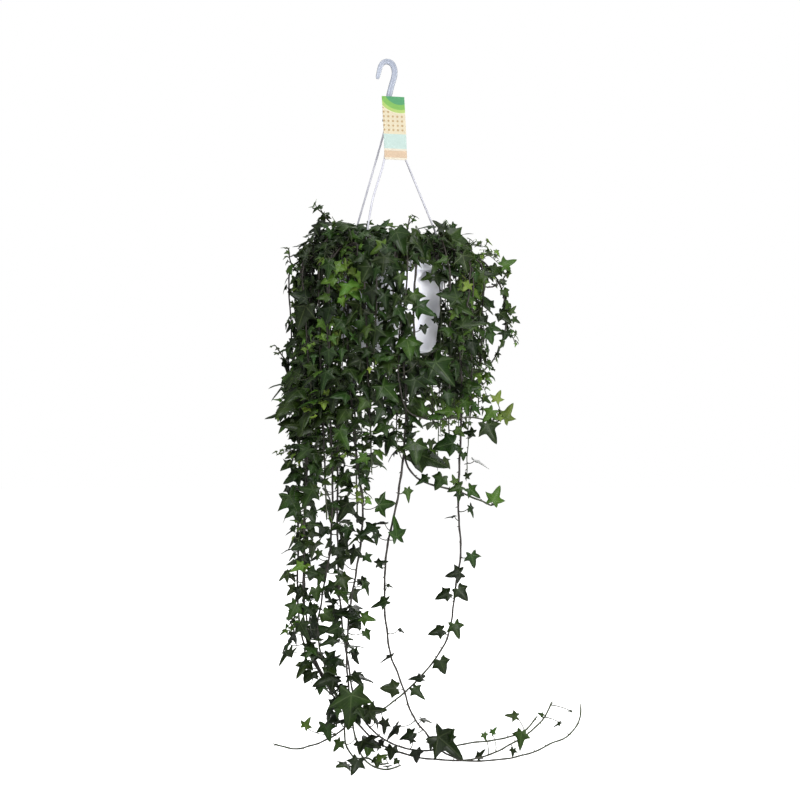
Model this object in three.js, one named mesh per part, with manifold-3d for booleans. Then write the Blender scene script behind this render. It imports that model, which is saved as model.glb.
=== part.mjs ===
// A hanging pot of English ivy: a white moulded pot on a clip-in hanger with a hook, a hang tag,
// the potting mix, and the ivy plants. Each plant is one rooted stem with the leaves it bears.
// Millimetres, +Z up. The origin is the seat inside the hook's crook, on which everything hangs.
// The front, which the tag faces, looks along -Y. Azimuths turn from +X towards +Y.

import * as THREE from "three";
import { mergeVertices } from "three/addons/utils/BufferGeometryUtils.js";
import Module from "manifold-3d";

const wasm = await Module();
wasm.setup();

// Pot
const RIM_Z = -310;
const POT_HEIGHT = 136;
const RIM_RADIUS = 100;
const SHOULDER_RADIUS = 92;
const BASE_RADIUS = 75;
const WALL = 1.6;
const FLOOR = 4;
const FOOT_HEIGHT = 4;
const FOOT_WIDTH = 13;
const SKIRT_DROP = 15;
const FLANGE = 2;
const BASE_Z = RIM_Z - POT_HEIGHT;
const DRAIN_COUNT = 5;
const DRAIN_RADIUS = 4.5;
const DRAIN_CIRCLE = 38;
const POT_SEGMENTS = 32;

// Potting mix
const GAP = 0.3; // clearance between a piece and what carries it
const SOIL_DEPTH_BELOW_RIM = 17;
const SOIL_Z = RIM_Z - SOIL_DEPTH_BELOW_RIM;
const SOIL_CROWN = 3;
const ROOT_DEPTH = 12;

// Hanger
const HUB_X = 3.5; // the hub hangs a little right of the pot's axis
const HUB_Z = -88; // underside of the hub
const HUB_RADIUS = 9.5;
const HUB_THICKNESS = 3.5;
const HUB_HOLE_CIRCLE = 5.8;
const SHANK_RADIUS = 2.4; // of the round shank between the ledge and the hub
const STRAND_RADIUS = 1.5;
const STRAND_HOLE = 1.95;
const STRAND_CIRCLE = 95; // circle of the clip holes in the rim
const STRAND_AZIMUTHS = { right: 11, back: 131, front: 251 };
const STRAND_BOWS = { right: [], back: [], front: [[-1.5, -22.5, -146], [-21, -57, -222]] };
const BEAD_RADIUS = 2.6;
const BEAD_LENGTH = 3.6;
const HOOK_WIDTH = 9;
const HOOK_DEPTH = 5;
const LEDGE_X = 4.2;
const LEDGE_RADIUS = 8.2;
const SHOULDER_Z = -52; // top of the ledge on the shank that the tag sits on

// Hang tag
const TAG_WIDTH = 36;
const TAG_HEIGHT = 101;
const TAG_THICKNESS = 0.8;
const TAG_TAB = 19;
const TAG_HOLE = 6.4;
const TAG_SIDE = 4.5; // the hole is this far left of the card's middle
const TAG_YAW = 16;
const TAG_LEAN = 9; // the card leans out over the front strand
const TAG_REACH = 9; // from the shank to the fold

// Ivy
const STEM_STEP = 38; // length of one straight facet of a stem
const STEM_SIDES = 4;
const STALK_WIDTH = 1.5;
const LEAF_THICKNESS = 0.7;
const LEAF_CLEARANCE = 0.4;
const GROUND_Z = -1086; // the long vines' ends trail at this level
const WATERING_SPACE = 58; // width left free over the middle of the potting mix

const radians = THREE.MathUtils.degToRad;
const vec = (x, y, z) => new THREE.Vector3(x, y, z);
const polar = (azimuth, radius, z) =>
  vec(radius * Math.cos(radians(azimuth)), radius * Math.sin(radians(azimuth)), z);

// Materials

const plain = (color, roughness) => new THREE.MeshStandardMaterial({ color, roughness, metalness: 0 });
const whitePlastic = () => plain(0xf1f1f4, 0.4);
const clearPlastic = () => plain(0xc3cad2, 0.2);
const printedCard = () => plain(0xd9d6bd, 0.35);
const pottingMix = () => plain(0x33261c, 0.95);
const ivyGreens = [0x2c4a24, 0x35582a, 0x3f6630];
const ivy = (index) => plain(ivyGreens[index % ivyGreens.length], 0.45);

// Solids

function solidOf(geometry) {
  const bare = geometry.clone();
  bare.deleteAttribute("normal");
  bare.deleteAttribute("uv");
  const merged = mergeVertices(bare, 1e-4);
  const corners = merged.index.array;
  const kept = [];
  for (let i = 0; i < corners.length; i += 3) {
    const [a, b, c] = corners.slice(i, i + 3);
    if (a !== b && b !== c && a !== c) kept.push(a, b, c);
  }
  const mesh = new wasm.Mesh({
    numProp: 3,
    vertProperties: merged.attributes.position.array,
    triVerts: new Uint32Array(kept),
  });
  return new wasm.Manifold(mesh);
}

function geometryOf(solid) {
  const mesh = solid.getMesh();
  const geometry = new THREE.BufferGeometry();
  geometry.setAttribute("position", new THREE.BufferAttribute(mesh.vertProperties, 3));
  geometry.setIndex(new THREE.BufferAttribute(mesh.triVerts, 1));
  geometry.computeVertexNormals();
  return geometry;
}

const unionOf = (solids) => solids.reduce((whole, next) => whole.add(next));

// A profile of [radius, z] points turned round the Z axis.
function turned(profile, segments) {
  const points = profile.map(([radius, z]) => new THREE.Vector2(radius, z));
  return new THREE.LatheGeometry(points, segments).rotateX(Math.PI / 2);
}

// An upright cylinder or cone frustum standing on the point given.
function upright(bottomRadius, topRadius, height, sides, foot) {
  const geometry = new THREE.CylinderGeometry(topRadius, bottomRadius, height, sides);
  return geometry.rotateX(Math.PI / 2).translate(foot.x, foot.y, foot.z + height / 2);
}

// A straight prism between two points.
function prism(from, to, radius, sides) {
  const along = to.clone().sub(from);
  const geometry = new THREE.CylinderGeometry(radius, radius, along.length(), sides);
  const turn = new THREE.Quaternion().setFromUnitVectors(vec(0, 1, 0), along.clone().normalize());
  const middle = from.clone().add(to).multiplyScalar(0.5);
  return geometry.applyQuaternion(turn).translate(middle.x, middle.y, middle.z);
}

// An outline swept along a curve.
function swept(outline, curve, steps) {
  return new THREE.ExtrudeGeometry(new THREE.Shape(outline), {
    steps,
    bevelEnabled: false,
    extrudePath: curve,
  });
}

function polygon(radius, sides) {
  const corner = (_, i) => {
    const angle = (2 * Math.PI * i) / sides;
    return new THREE.Vector2(radius * Math.cos(angle), radius * Math.sin(angle));
  };
  return Array.from({ length: sides }, corner);
}

// Pot: a tapered shell on a foot ring, with a flange and skirt at the rim.

function potGeometry() {
  const underFlange = RIM_Z - FLANGE;
  const floorTop = BASE_Z + FOOT_HEIGHT + FLOOR;
  const profile = [
    [0, BASE_Z + FOOT_HEIGHT],
    [BASE_RADIUS - FOOT_WIDTH - 3, BASE_Z + FOOT_HEIGHT],
    [BASE_RADIUS - FOOT_WIDTH, BASE_Z],
    [BASE_RADIUS - 2, BASE_Z],
    [BASE_RADIUS, BASE_Z + 3],
    [SHOULDER_RADIUS, underFlange],
    [RIM_RADIUS - WALL, underFlange],
    [RIM_RADIUS - WALL + 0.4, RIM_Z - SKIRT_DROP],
    [RIM_RADIUS + 0.4, RIM_Z - SKIRT_DROP],
    [RIM_RADIUS, RIM_Z - 1],
    [RIM_RADIUS - 1, RIM_Z],
    [SHOULDER_RADIUS - WALL + 0.6, RIM_Z],
    [SHOULDER_RADIUS - WALL, RIM_Z - 1],
    [BASE_RADIUS - WALL + 0.6, floorTop],
    [0, floorTop],
  ];
  let pot = solidOf(turned(profile, POT_SEGMENTS));
  for (const azimuth of Object.values(STRAND_AZIMUTHS)) {
    const hole = polar(azimuth, STRAND_CIRCLE, RIM_Z - FLANGE - 1);
    pot = pot.subtract(solidOf(upright(STRAND_HOLE, STRAND_HOLE, FLANGE + 2, 8, hole)));
  }
  for (let i = 0; i < DRAIN_COUNT; i += 1) {
    const hole = polar((360 / DRAIN_COUNT) * i, DRAIN_CIRCLE, BASE_Z);
    pot = pot.subtract(solidOf(upright(DRAIN_RADIUS, DRAIN_RADIUS, 12, 6, hole)));
  }
  return geometryOf(pot);
}

// Hanger: a hook on a round hub, and three strands that clip into the hub and the pot's rim.

const hookCurve = new THREE.CatmullRomCurve3([
  vec(LEDGE_X, 0, -54),
  vec(5.4, 0, -46),
  vec(9, 0, -32),
  vec(12.4, 0, -20),
  vec(13.4, 0, -11),
  vec(10.6, 0, -1),
  vec(6.5, 0, 3),
  vec(1, 0, HOOK_WIDTH / 2),
  vec(-4.5, 0, 2.6),
  vec(-8.3, 0, -2.5),
  vec(-11, 0, -12),
  vec(-13.4, 0, -22.5),
]);

// The middle of a strand's hole in the hub, at the height given.
const inHub = (azimuth, z) => polar(azimuth, HUB_HOLE_CIRCLE, z).add(vec(HUB_X, 0, 0));

function hookGeometry() {
  const x = HOOK_DEPTH / 2;
  const y = HOOK_WIDTH / 2;
  const outline = [
    [x, -y + 1.5],
    [x, y - 1.5],
    [x - 1.5, y],
    [1.5 - x, y],
    [-x, y - 1.5],
    [-x, 1.5 - y],
    [1.5 - x, -y],
    [x - 1.5, -y],
  ].map(([a, b]) => new THREE.Vector2(a, b));
  const hook = solidOf(swept(outline, hookCurve, 26));
  const ledge = solidOf(upright(3, LEDGE_RADIUS, 6, 16, vec(LEDGE_X, 0, SHOULDER_Z - 6)));
  const shankFoot = vec(HUB_X, 0, HUB_Z + 1);
  const shank = solidOf(prism(shankFoot, vec(LEDGE_X, 0, SHOULDER_Z - 1), SHANK_RADIUS, 10));
  let hub = solidOf(upright(HUB_RADIUS, HUB_RADIUS - 1, HUB_THICKNESS, 18, vec(HUB_X, 0, HUB_Z)));
  for (const azimuth of Object.values(STRAND_AZIMUTHS)) {
    const hole = inHub(azimuth, HUB_Z - 1);
    hub = hub.subtract(solidOf(upright(STRAND_HOLE, STRAND_HOLE, HUB_THICKNESS + 2, 8, hole)));
  }
  return geometryOf(unionOf([hub, shank, ledge, hook]));
}

function strandGeometry(azimuth, bow) {
  const top = HUB_Z + HUB_THICKNESS + GAP;
  const bottom = RIM_Z - FLANGE - GAP;
  const joints = [
    inHub(azimuth, top + 1),
    inHub(azimuth, HUB_Z - 4),
    ...bow.map((point) => vec(...point)),
    polar(azimuth, STRAND_CIRCLE, RIM_Z + 8),
    polar(azimuth, STRAND_CIRCLE, bottom - 1),
  ];
  const rods = joints.slice(1).map((to, i) => prism(joints[i], to, STRAND_RADIUS, 6));
  const knuckles = joints.slice(1, -1).map(({ x, y, z }) =>
    new THREE.IcosahedronGeometry(STRAND_RADIUS, 0).translate(x, y, z),
  );
  const narrow = BEAD_RADIUS * 0.6;
  const upperFoot = inHub(azimuth, top);
  const lowerFoot = polar(azimuth, STRAND_CIRCLE, bottom - BEAD_LENGTH);
  const upper = upright(BEAD_RADIUS, narrow, BEAD_LENGTH, 8, upperFoot);
  const lower = upright(narrow, BEAD_RADIUS, BEAD_LENGTH, 8, lowerFoot);
  return geometryOf(unionOf([...rods, ...knuckles, upper, lower].map(solidOf)));
}

// Hang tag: a printed plastic card whose top edge folds back to a tab with a hole round the shank.

function tagGeometry() {
  const half = TAG_THICKNESS / 2;
  const card = new THREE.BoxGeometry(TAG_WIDTH, TAG_THICKNESS, TAG_HEIGHT);
  card.translate(0, 0, -TAG_HEIGHT / 2).rotateX(-radians(TAG_LEAN));
  const tab = new THREE.BoxGeometry(TAG_WIDTH - 10, TAG_TAB, TAG_THICKNESS);
  tab.translate(0, TAG_TAB / 2 - half, -half);
  const hole = upright(TAG_HOLE, TAG_HOLE, 4, 16, vec(-TAG_SIDE, TAG_REACH, -2));
  const tag = unionOf([solidOf(card), solidOf(tab)]).subtract(solidOf(hole));
  return geometryOf(tag)
    .translate(TAG_SIDE, -TAG_REACH, 0)
    .rotateZ(radians(TAG_YAW))
    .translate(LEDGE_X, 0, SHOULDER_Z + GAP + TAG_THICKNESS);
}

// Ivy routes. A trailing vine passes through points chosen along the real stem. A cascading vine
// is given by its azimuth, how far out it hangs and how far it drops below the rim.

const TRAILING = {
  trail_left_outer: {
    root: [-62, -10],
    points: [
      [-88, -14, -286], [-114, -18, -304], [-128, -20, -370], [-131, -22, -520], [-134, -25, -700],
      [-135, -28, -815], [-126, -32, -890], [-92, -38, -950], [-66, -42, -990], [-60, -44, -1046],
      [-46, -44, -1066], [-28, -40, -1066], [-8, -46, -1074], [6, -50, -1072],
    ],
  },
  trail_left_floor: {
    root: [-58, 24],
    points: [
      [-84, 34, -284], [-108, 44, -300], [-122, 52, -370], [-125, 50, -540], [-129, 40, -740],
      [-125, 24, -860], [-110, 12, -925], [-80, 8, -975], [-58, 10, -1018], [-76, 26, -1042],
      [-97, 46, -1057], [-126, 76, -1073], [-150, 90, -1079], [-184, 100, -1073],
    ],
  },
  trail_far_right: {
    root: [-54, -28],
    points: [
      [-82, -42, -288], [-102, -54, -302], [-114, -60, -370], [-116, -62, -540], [-124, -62, -740],
      [-120, -62, -880], [-98, -62, -935], [-66, -62, -985], [-36, -48, -1019], [-13, -34, -1044],
      [16, -24, -1060], [51, -12, -1072], [96, 0, -1078], [160, 10, -1081], [212, 34, -1079],
      [248, 55, -1070], [292, 80, -1054], [311, 92, -1030], [312, 97, -1008],
    ],
  },
  trail_left_inner: {
    root: [-44, -52],
    points: [
      [-64, -76, -288], [-80, -98, -304], [-86, -106, -380], [-82, -100, -540], [-80, -80, -680],
      [-84, -76, -747], [-95, -76, -815], [-102, -78, -861], [-92, -80, -920], [-74, -84, -960],
      [-56, -84, -990],
    ],
  },
  trail_middle: {
    root: [-30, -60],
    points: [
      [-44, -88, -288], [-53, -106, -304], [-56, -114, -380], [-50, -112, -540], [-34, -106, -690],
      [-45, -104, -785], [-54, -102, -839], [-57, -100, -925], [-50, -98, -985], [-44, -80, -1030],
      [-30, -70, -1064], [0, -66, -1079], [24, -64, -1072],
    ],
  },
  trail_middle_back: {
    root: [-46, 42],
    points: [
      [-67, 60, -286], [-80, 76, -300], [-84, 88, -380], [-78, 90, -560], [-78, 70, -740],
      [-72, 30, -840], [-60, 0, -920], [-46, -16, -990], [-22, -20, -1026], [20, -6, -1056],
      [70, 14, -1066], [130, 30, -1058], [190, 44, -1052], [222, 52, -1040], [240, 58, -1020],
    ],
  },
  trail_front: {
    root: [6, -62],
    points: [
      [12, -92, -288], [16, -112, -304], [22, -124, -380], [30, -122, -560], [19, -112, -661],
      [10, -110, -704], [0, -110, -760], [1, -108, -851], [8, -100, -900], [26, -90, -949],
      [40, -76, -993], [61, -60, -1025], [80, -50, -1050], [120, -32, -1071], [160, -12, -1067],
      [194, 4, -1054], [221, 14, -1040], [245, 20, -1019], [260, 22, -990],
    ],
  },
  trail_right: {
    root: [62, -26],
    points: [
      [88, -36, -288], [106, -44, -304], [112, -50, -380], [115, -52, -520], [113, -52, -590],
      [110, -52, -687], [114, -52, -750], [108, -54, -790], [102, -56, -832], [96, -58, -872],
      [82, -60, -902], [61, -62, -930], [34, -66, -957], [12, -70, -974], [-12, -76, -990],
    ],
  },
  side_shoot_upper: {
    root: [20, -52],
    points: [
      [26, -86, -284], [32, -114, -298], [30, -132, -360], [20, -136, -440], [22, -140, -505],
      [36, -140, -538], [67, -138, -548], [130, -134, -545], [158, -132, -553], [176, -130, -546],
    ],
  },
  side_shoot_lower: {
    root: [34, -56],
    points: [
      [44, -90, -288], [46, -110, -304], [42, -116, -380], [44, -108, -470], [38, -106, -520],
      [28, -110, -600], [43, -108, -633], [66, -106, -645], [109, -104, -657], [145, -102, -671],
      [159, -100, -677], [176, -98, -668],
    ],
  },
  shoot_top_left: {
    root: [-36, -8],
    points: [[-50, -12, -292], [-68, -16, -268], [-88, -20, -243], [-104, -22, -227], [-112, -24, -226]],
  },
  shoot_left_tip: {
    root: [-70, -2],
    points: [
      [-86, -3, -298], [-108, -4, -302], [-126, -5, -328], [-140, -6, -320], [-148, -7, -305],
      [-150, -8, -286],
    ],
  },
  shoot_left_low: {
    root: [-66, 12],
    points: [
      [-88, 16, -296], [-110, 20, -306], [-118, 22, -370], [-122, 24, -450], [-134, 25, -470],
      [-150, 27, -463], [-164, 29, -449], [-174, 30, -434],
    ],
  },
  shoot_right_tip: {
    root: [74, -14],
    points: [
      [92, -18, -296], [116, -22, -306], [140, -26, -342], [160, -28, -348], [175, -30, -339],
      [185, -31, -325], [190, -32, -310],
    ],
  },
  shoot_right_curl: {
    root: [68, 0],
    points: [
      [90, 0, -288], [122, -2, -290], [160, -4, -316], [182, -6, -360], [184, -8, -410], [172, -9, -448],
      [156, -10, -470], [134, -11, -477],
    ],
  },
  shoot_top_middle: {
    root: [16, -30],
    points: [[24, -36, -292], [32, -40, -262], [38, -42, -238]],
  },
  shoot_top_right: {
    root: [54, -6],
    points: [[66, -8, -294], [80, -10, -268], [92, -12, -246]],
  },
  shoot_top_back: {
    root: [-12, 34],
    points: [[-16, 44, -292], [-24, 58, -264], [-34, 70, -246]],
  },
};

const CASCADES = [
  { azimuth: 198, reach: 140, drop: 350, sway: -10 },
  { azimuth: 213, reach: 150, drop: 240, sway: 14 },
  { azimuth: 221, reach: 136, drop: 390, sway: 8 },
  { azimuth: 237, reach: 152, drop: 190, sway: -8 },
  { azimuth: 257, reach: 142, drop: 320, sway: 10 },
  { azimuth: 266, reach: 156, drop: 170, sway: -6 },
  { azimuth: 312, reach: 146, drop: 280, sway: 6 },
  { azimuth: 321, reach: 166, drop: 150, sway: -10 },
  { azimuth: 331, reach: 152, drop: 240, sway: 12 },
  { azimuth: 343, reach: 158, drop: 230, sway: 4 },
  { azimuth: 19, reach: 166, drop: 170, sway: 10 },
  { azimuth: 31, reach: 146, drop: 260, sway: -8 },
  { azimuth: 44, reach: 158, drop: 210, sway: 8 },
  { azimuth: 58, reach: 142, drop: 250, sway: -6 },
  { azimuth: 72, reach: 154, drop: 180, sway: 8 },
  { azimuth: 86, reach: 142, drop: 280, sway: -8 },
  { azimuth: 100, reach: 154, drop: 220, sway: 6 },
  { azimuth: 114, reach: 142, drop: 400, sway: -6 },
  { azimuth: 125, reach: 152, drop: 180, sway: 4 },
  { azimuth: 150, reach: 150, drop: 280, sway: 6 },
  { azimuth: 162, reach: 142, drop: 390, sway: 8 },
  { azimuth: 174, reach: 154, drop: 220, sway: -4 },
];
const CASCADE_LIFTS = [26, 14, 34, 20]; // how high above the rim neighbouring vines arch
const CASCADE_ROOTS = [62, 48, 74, 56]; // how far from the middle neighbouring vines root

function trailingRoute({ root, points }) {
  const [x, y] = root;
  return [vec(x, y, SOIL_Z - ROOT_DEPTH), vec(x, y, SOIL_Z + 4), ...points.map((p) => vec(...p))];
}

function cascadeRoute({ azimuth, reach, drop, sway }, index) {
  const root = CASCADE_ROOTS[index % CASCADE_ROOTS.length];
  const lift = CASCADE_LIFTS[index % CASCADE_LIFTS.length];
  const sideways = polar(azimuth + 90, sway, 0);
  const hang = [0.3, 0.65, 1].map((share) =>
    polar(azimuth, reach - 12 * share, RIM_Z - drop * share).addScaledVector(sideways, share),
  );
  return [
    polar(azimuth, root, SOIL_Z - ROOT_DEPTH),
    polar(azimuth, root, SOIL_Z + 4),
    polar(azimuth, root + 18, RIM_Z + lift * 0.8),
    polar(azimuth, (root + 18 + reach) / 2, RIM_Z + lift),
    polar(azimuth, reach - 6, RIM_Z - 4),
    ...hang,
  ];
}

// Leaves along a stem. The same small hash gives every leaf its own size and turn.

const chance = (vine, leaf, channel) => {
  const wave = Math.sin(vine * 127.1 + leaf * 311.7 + channel * 74.7) * 43758.5453;
  return wave - Math.floor(wave);
};

const FIRST_LEAF = 50; // distance from the root's foot to the first leaf
const CROWN_SPACING = 90;
const TRAIL_SPACING = 140;
const CROWN_LENGTH = 230;
const LARGEST_LEAF = 35;
const SMALLEST_LEAF = 15;
const TIP_TAPER = 110; // length at the growing tip over which the leaves get smaller

function leafPlaces(length) {
  const places = [];
  let along = FIRST_LEAF;
  while (along < length - 8) {
    places.push(along);
    along += along < CROWN_LENGTH ? CROWN_SPACING : TRAIL_SPACING;
  }
  return [...places, length - 3];
}

// One half of a leaf whose blade is 1 long: the stalk, then the lobes of the blade up to the tip.
const STALK_LENGTH = 0.6;
const HALF_BLADE = [[0.36, -0.26], [0.66, 0.33], [0.25, 0.36]];

function leafOutline(size) {
  const stalk = STALK_WIDTH / size / 2;
  const half = [[stalk, -STALK_LENGTH], [stalk, -0.05], ...HALF_BLADE];
  const mirrored = half.map(([x, y]) => [-x, y]).reverse();
  const points = [...half, [0, 1], ...mirrored];
  return points.map(([x, y]) => new THREE.Vector2(x * size, (y + STALK_LENGTH) * size));
}

// A leaf points outwards and down by the slope given. Near the ground it lies over.
function leafSolid(from, size, azimuth, slope) {
  const room = (from.z - GROUND_Z) / (size * (1 + STALK_LENGTH));
  const dip = Math.min(slope, Math.asin(Math.min(1, 0.9 * room)));
  const out = polar(azimuth, 1, 0);
  const tip = out.clone().multiplyScalar(Math.cos(dip)).add(vec(0, 0, -Math.sin(dip)));
  const face = out.clone().multiplyScalar(Math.sin(dip)).add(vec(0, 0, Math.cos(dip)));
  const side = tip.clone().cross(face);
  const leaf = new THREE.ExtrudeGeometry(new THREE.Shape(leafOutline(size)), {
    depth: LEAF_THICKNESS,
    bevelEnabled: false,
  });
  leaf.translate(0, 0, -LEAF_THICKNESS / 2);
  return solidOf(leaf.applyMatrix4(new THREE.Matrix4().makeBasis(side, tip, face).setPosition(from)));
}

function leafTurn(point, ahead, turn) {
  const outward = THREE.MathUtils.radToDeg(Math.atan2(point.y, point.x));
  const level = Math.abs(ahead.z) < 0.6 && point.z < BASE_Z;
  return (level ? -90 : outward) + turn;
}

// Everything already in place, so that no leaf is put through it.
const placed = [];

function remember(solid, owner) {
  placed.push({ solid, owner, box: solid.boundingBox() });
}

function isClear(solid, owner, stemOwner) {
  const { min, max } = solid.boundingBox();
  return placed.every(({ solid: other, owner: whose, box }) => {
    if (whose === stemOwner) return true;
    const apart = [0, 1, 2].some(
      (i) => box.min[i] > max[i] + LEAF_CLEARANCE || box.max[i] < min[i] - LEAF_CLEARANCE,
    );
    return apart || solid.minGap(other, LEAF_CLEARANCE) >= LEAF_CLEARANCE;
  });
}

const TURN_TRIES = [0, 30, -30, 60, -60, 95, -95, 140, -140];
const SIZE_TRIES = [1, 0.75, 0.55];

function grownLeaf(vine, leaf, along, { name, stations, length }) {
  const place = (along / length) * (stations.length - 1);
  const below = Math.min(Math.floor(place), stations.length - 2);
  const point = stations[below].clone().lerp(stations[below + 1], place - below);
  const ahead = stations[below + 1].clone().sub(stations[below]).normalize();
  const fade = Math.min(1, (length - along) / TIP_TAPER);
  const grown = THREE.MathUtils.lerp(SMALLEST_LEAF, LARGEST_LEAF, fade);
  const full = grown * (0.8 + 0.35 * chance(vine, leaf, 1));
  const swing = (leaf % 2 ? 1 : -1) * (25 + 45 * chance(vine, leaf, 2));
  const slope = radians(35 + 40 * chance(vine, leaf, 3));
  for (const size of SIZE_TRIES) {
    for (const turn of TURN_TRIES) {
      const azimuth = leafTurn(point, ahead, swing + turn);
      const solid = leafSolid(point, full * size, azimuth, slope);
      if (isClear(solid, name, `${name} stem`)) return solid;
    }
  }
  return null;
}

function stemRadius(length) {
  return length > 500 ? 1.6 : 1.35;
}

function plantStem(name, route) {
  const curve = new THREE.CatmullRomCurve3(route);
  const length = curve.getLength();
  const steps = Math.max(5, Math.round(length / STEM_STEP));
  const radius = stemRadius(length);
  const solid = solidOf(swept(polygon(radius, STEM_SIDES), curve, steps));
  const stations = curve.getSpacedPoints(steps);
  const [foot, next] = stations;
  const down = foot.clone().sub(next).normalize();
  const holeFoot = foot.clone().addScaledVector(down, 3 * GAP);
  const hole = prism(holeFoot, next, (radius + 1.5 * GAP) * Math.SQRT2, 4);
  return { name, stations, length, solid, hole: solidOf(hole) };
}

// Assembly

const assembly = new THREE.Group();

function addNode(name, geometry, material) {
  const mesh = new THREE.Mesh(geometry, material);
  mesh.name = name;
  assembly.add(mesh);
}

function addGuarded(name, geometry, material) {
  addNode(name, geometry, material);
  remember(solidOf(geometry), name);
}

addGuarded("pot", potGeometry(), whitePlastic());
addGuarded("hanger_hook", hookGeometry(), clearPlastic());
for (const [name, azimuth] of Object.entries(STRAND_AZIMUTHS)) {
  addGuarded(`hanger_strand_${name}`, strandGeometry(azimuth, STRAND_BOWS[name]), whitePlastic());
}
addGuarded("hang_tag", tagGeometry(), printedCard());

const cascadeName = (index) => `ivy_cascade_${String(index + 1).padStart(2, "0")}`;
const routes = [
  ...Object.entries(TRAILING).map(([name, vine]) => [`ivy_${name}`, trailingRoute(vine)]),
  ...CASCADES.map((vine, index) => [cascadeName(index), cascadeRoute(vine, index)]),
];
const stems = routes.map(([name, route]) => plantStem(name, route));

const soilProfile = [
  [0, BASE_Z + FOOT_HEIGHT + FLOOR + GAP],
  [BASE_RADIUS - WALL + 0.6 - GAP - 0.2, BASE_Z + FOOT_HEIGHT + FLOOR + GAP],
  [SHOULDER_RADIUS - WALL - 3, SOIL_Z - 2],
  [SHOULDER_RADIUS - WALL - 5, SOIL_Z],
  [0, SOIL_Z + SOIL_CROWN],
];
let soil = solidOf(turned(soilProfile, POT_SEGMENTS));
for (const stem of stems) soil = soil.subtract(stem.hole);
addGuarded("potting_mix", geometryOf(soil), pottingMix());

for (const stem of stems) remember(stem.solid, `${stem.name} stem`);
const watering = new THREE.BoxGeometry(WATERING_SPACE, WATERING_SPACE, 200);
remember(solidOf(watering.translate(0, 0, SOIL_Z + 110)), "watering space");

stems.forEach((stem, vine) => {
  const pieces = [stem.solid];
  leafPlaces(stem.length).forEach((along, leaf) => {
    const grown = grownLeaf(vine, leaf, along, stem);
    if (!grown) return;
    remember(grown, stem.name);
    pieces.push(grown);
  });
  addNode(stem.name, geometryOf(unionOf(pieces)), ivy(vine));
});

export default assembly;
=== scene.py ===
"""Hanging pot of English ivy: its finished looks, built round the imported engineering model."""

import sys
import logging
import math
from collections import defaultdict
from collections.abc import Callable, Iterable, Iterator, Sequence
from dataclasses import dataclass, field
from enum import Enum
from random import Random

import bmesh
import bpy
from mathutils import Matrix, Vector, noise
from mathutils.bvhtree import BVHTree


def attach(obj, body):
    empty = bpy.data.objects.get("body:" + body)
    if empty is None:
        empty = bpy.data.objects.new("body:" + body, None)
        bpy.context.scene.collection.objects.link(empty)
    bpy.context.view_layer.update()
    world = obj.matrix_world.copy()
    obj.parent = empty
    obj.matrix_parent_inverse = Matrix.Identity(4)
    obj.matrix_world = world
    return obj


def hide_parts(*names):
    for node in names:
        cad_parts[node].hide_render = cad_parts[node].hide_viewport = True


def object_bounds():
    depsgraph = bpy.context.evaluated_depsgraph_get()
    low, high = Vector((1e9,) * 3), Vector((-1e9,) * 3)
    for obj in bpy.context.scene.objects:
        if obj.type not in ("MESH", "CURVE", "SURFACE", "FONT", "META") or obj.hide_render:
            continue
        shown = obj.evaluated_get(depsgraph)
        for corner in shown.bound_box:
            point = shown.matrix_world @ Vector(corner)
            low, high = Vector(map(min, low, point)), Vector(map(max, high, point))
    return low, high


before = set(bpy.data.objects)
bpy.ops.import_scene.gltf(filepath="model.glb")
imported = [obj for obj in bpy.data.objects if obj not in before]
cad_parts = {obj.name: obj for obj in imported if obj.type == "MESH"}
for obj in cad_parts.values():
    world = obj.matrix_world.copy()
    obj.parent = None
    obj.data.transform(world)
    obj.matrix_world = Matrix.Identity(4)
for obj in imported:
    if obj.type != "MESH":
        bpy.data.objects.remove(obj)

CAD_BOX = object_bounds()
LOG = logging.getLogger("hanging_ivy")
MM = 0.001
UP = Vector((0.0, 0.0, 1.0))
RIM_Z = -310.0
SOIL_Z = -327.0
GROUND_Z = -1086.0
DOME_TOP = -252.0
STRAND_AZIMUTHS = {"right": 11.0, "back": 131.0, "front": 251.0}


def linear(code: str, alpha: float = 1.0) -> tuple[float, float, float, float]:
    """Turns an sRGB hex colour to linear.

    Args:
        code: Six hex digits, such as "35582a".
        alpha: The opacity to put with it.

    Returns:
        Linear red, green and blue, and the alpha.
    """
    parts = [int(code[i : i + 2], 16) / 255 for i in (0, 2, 4)]
    turned = [c / 12.92 if c <= 0.04045 else ((c + 0.055) / 1.055) ** 2.4 for c in parts]
    return (*turned, alpha)


def polar(azimuth: float, radius: float, height: float) -> Vector:
    """Gives the point at an azimuth in degrees, a radius and a height, in their own unit."""
    angle = math.radians(azimuth)
    return Vector((radius * math.cos(angle), radius * math.sin(angle), height))


def add_node(
    tree: bpy.types.NodeTree, kind: str, inputs: dict[int | str, object] | None = None, **settings: object
) -> bpy.types.Node:
    """Adds a node with its settings and links.

    Args:
        tree: The node tree it goes into.
        kind: Blender's name of the node's type.
        inputs: What each input gets, by its name or place: a socket to link, or a value.
        settings: The node's own properties.

    Returns:
        The new node.
    """
    node = tree.nodes.new(kind)
    for name, value in settings.items():
        setattr(node, name, value)
    for name, value in (inputs or {}).items():
        if isinstance(value, bpy.types.NodeSocket):
            tree.links.new(value, node.inputs[name])
        else:
            node.inputs[name].default_value = value
    return node


def set_ramp(node: bpy.types.Node, stops: Sequence[tuple[float, str]]) -> None:
    """Puts colour stops on a colour ramp.

    Args:
        node: The ramp.
        stops: Positions from 0 to 1 with sRGB hex colours, in order.
    """
    ramp = node.color_ramp
    while len(ramp.elements) < len(stops):
        ramp.elements.new(1.0)
    for element, (place, code) in zip(ramp.elements, stops):
        element.position = place
        element.color = linear(code)


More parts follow.
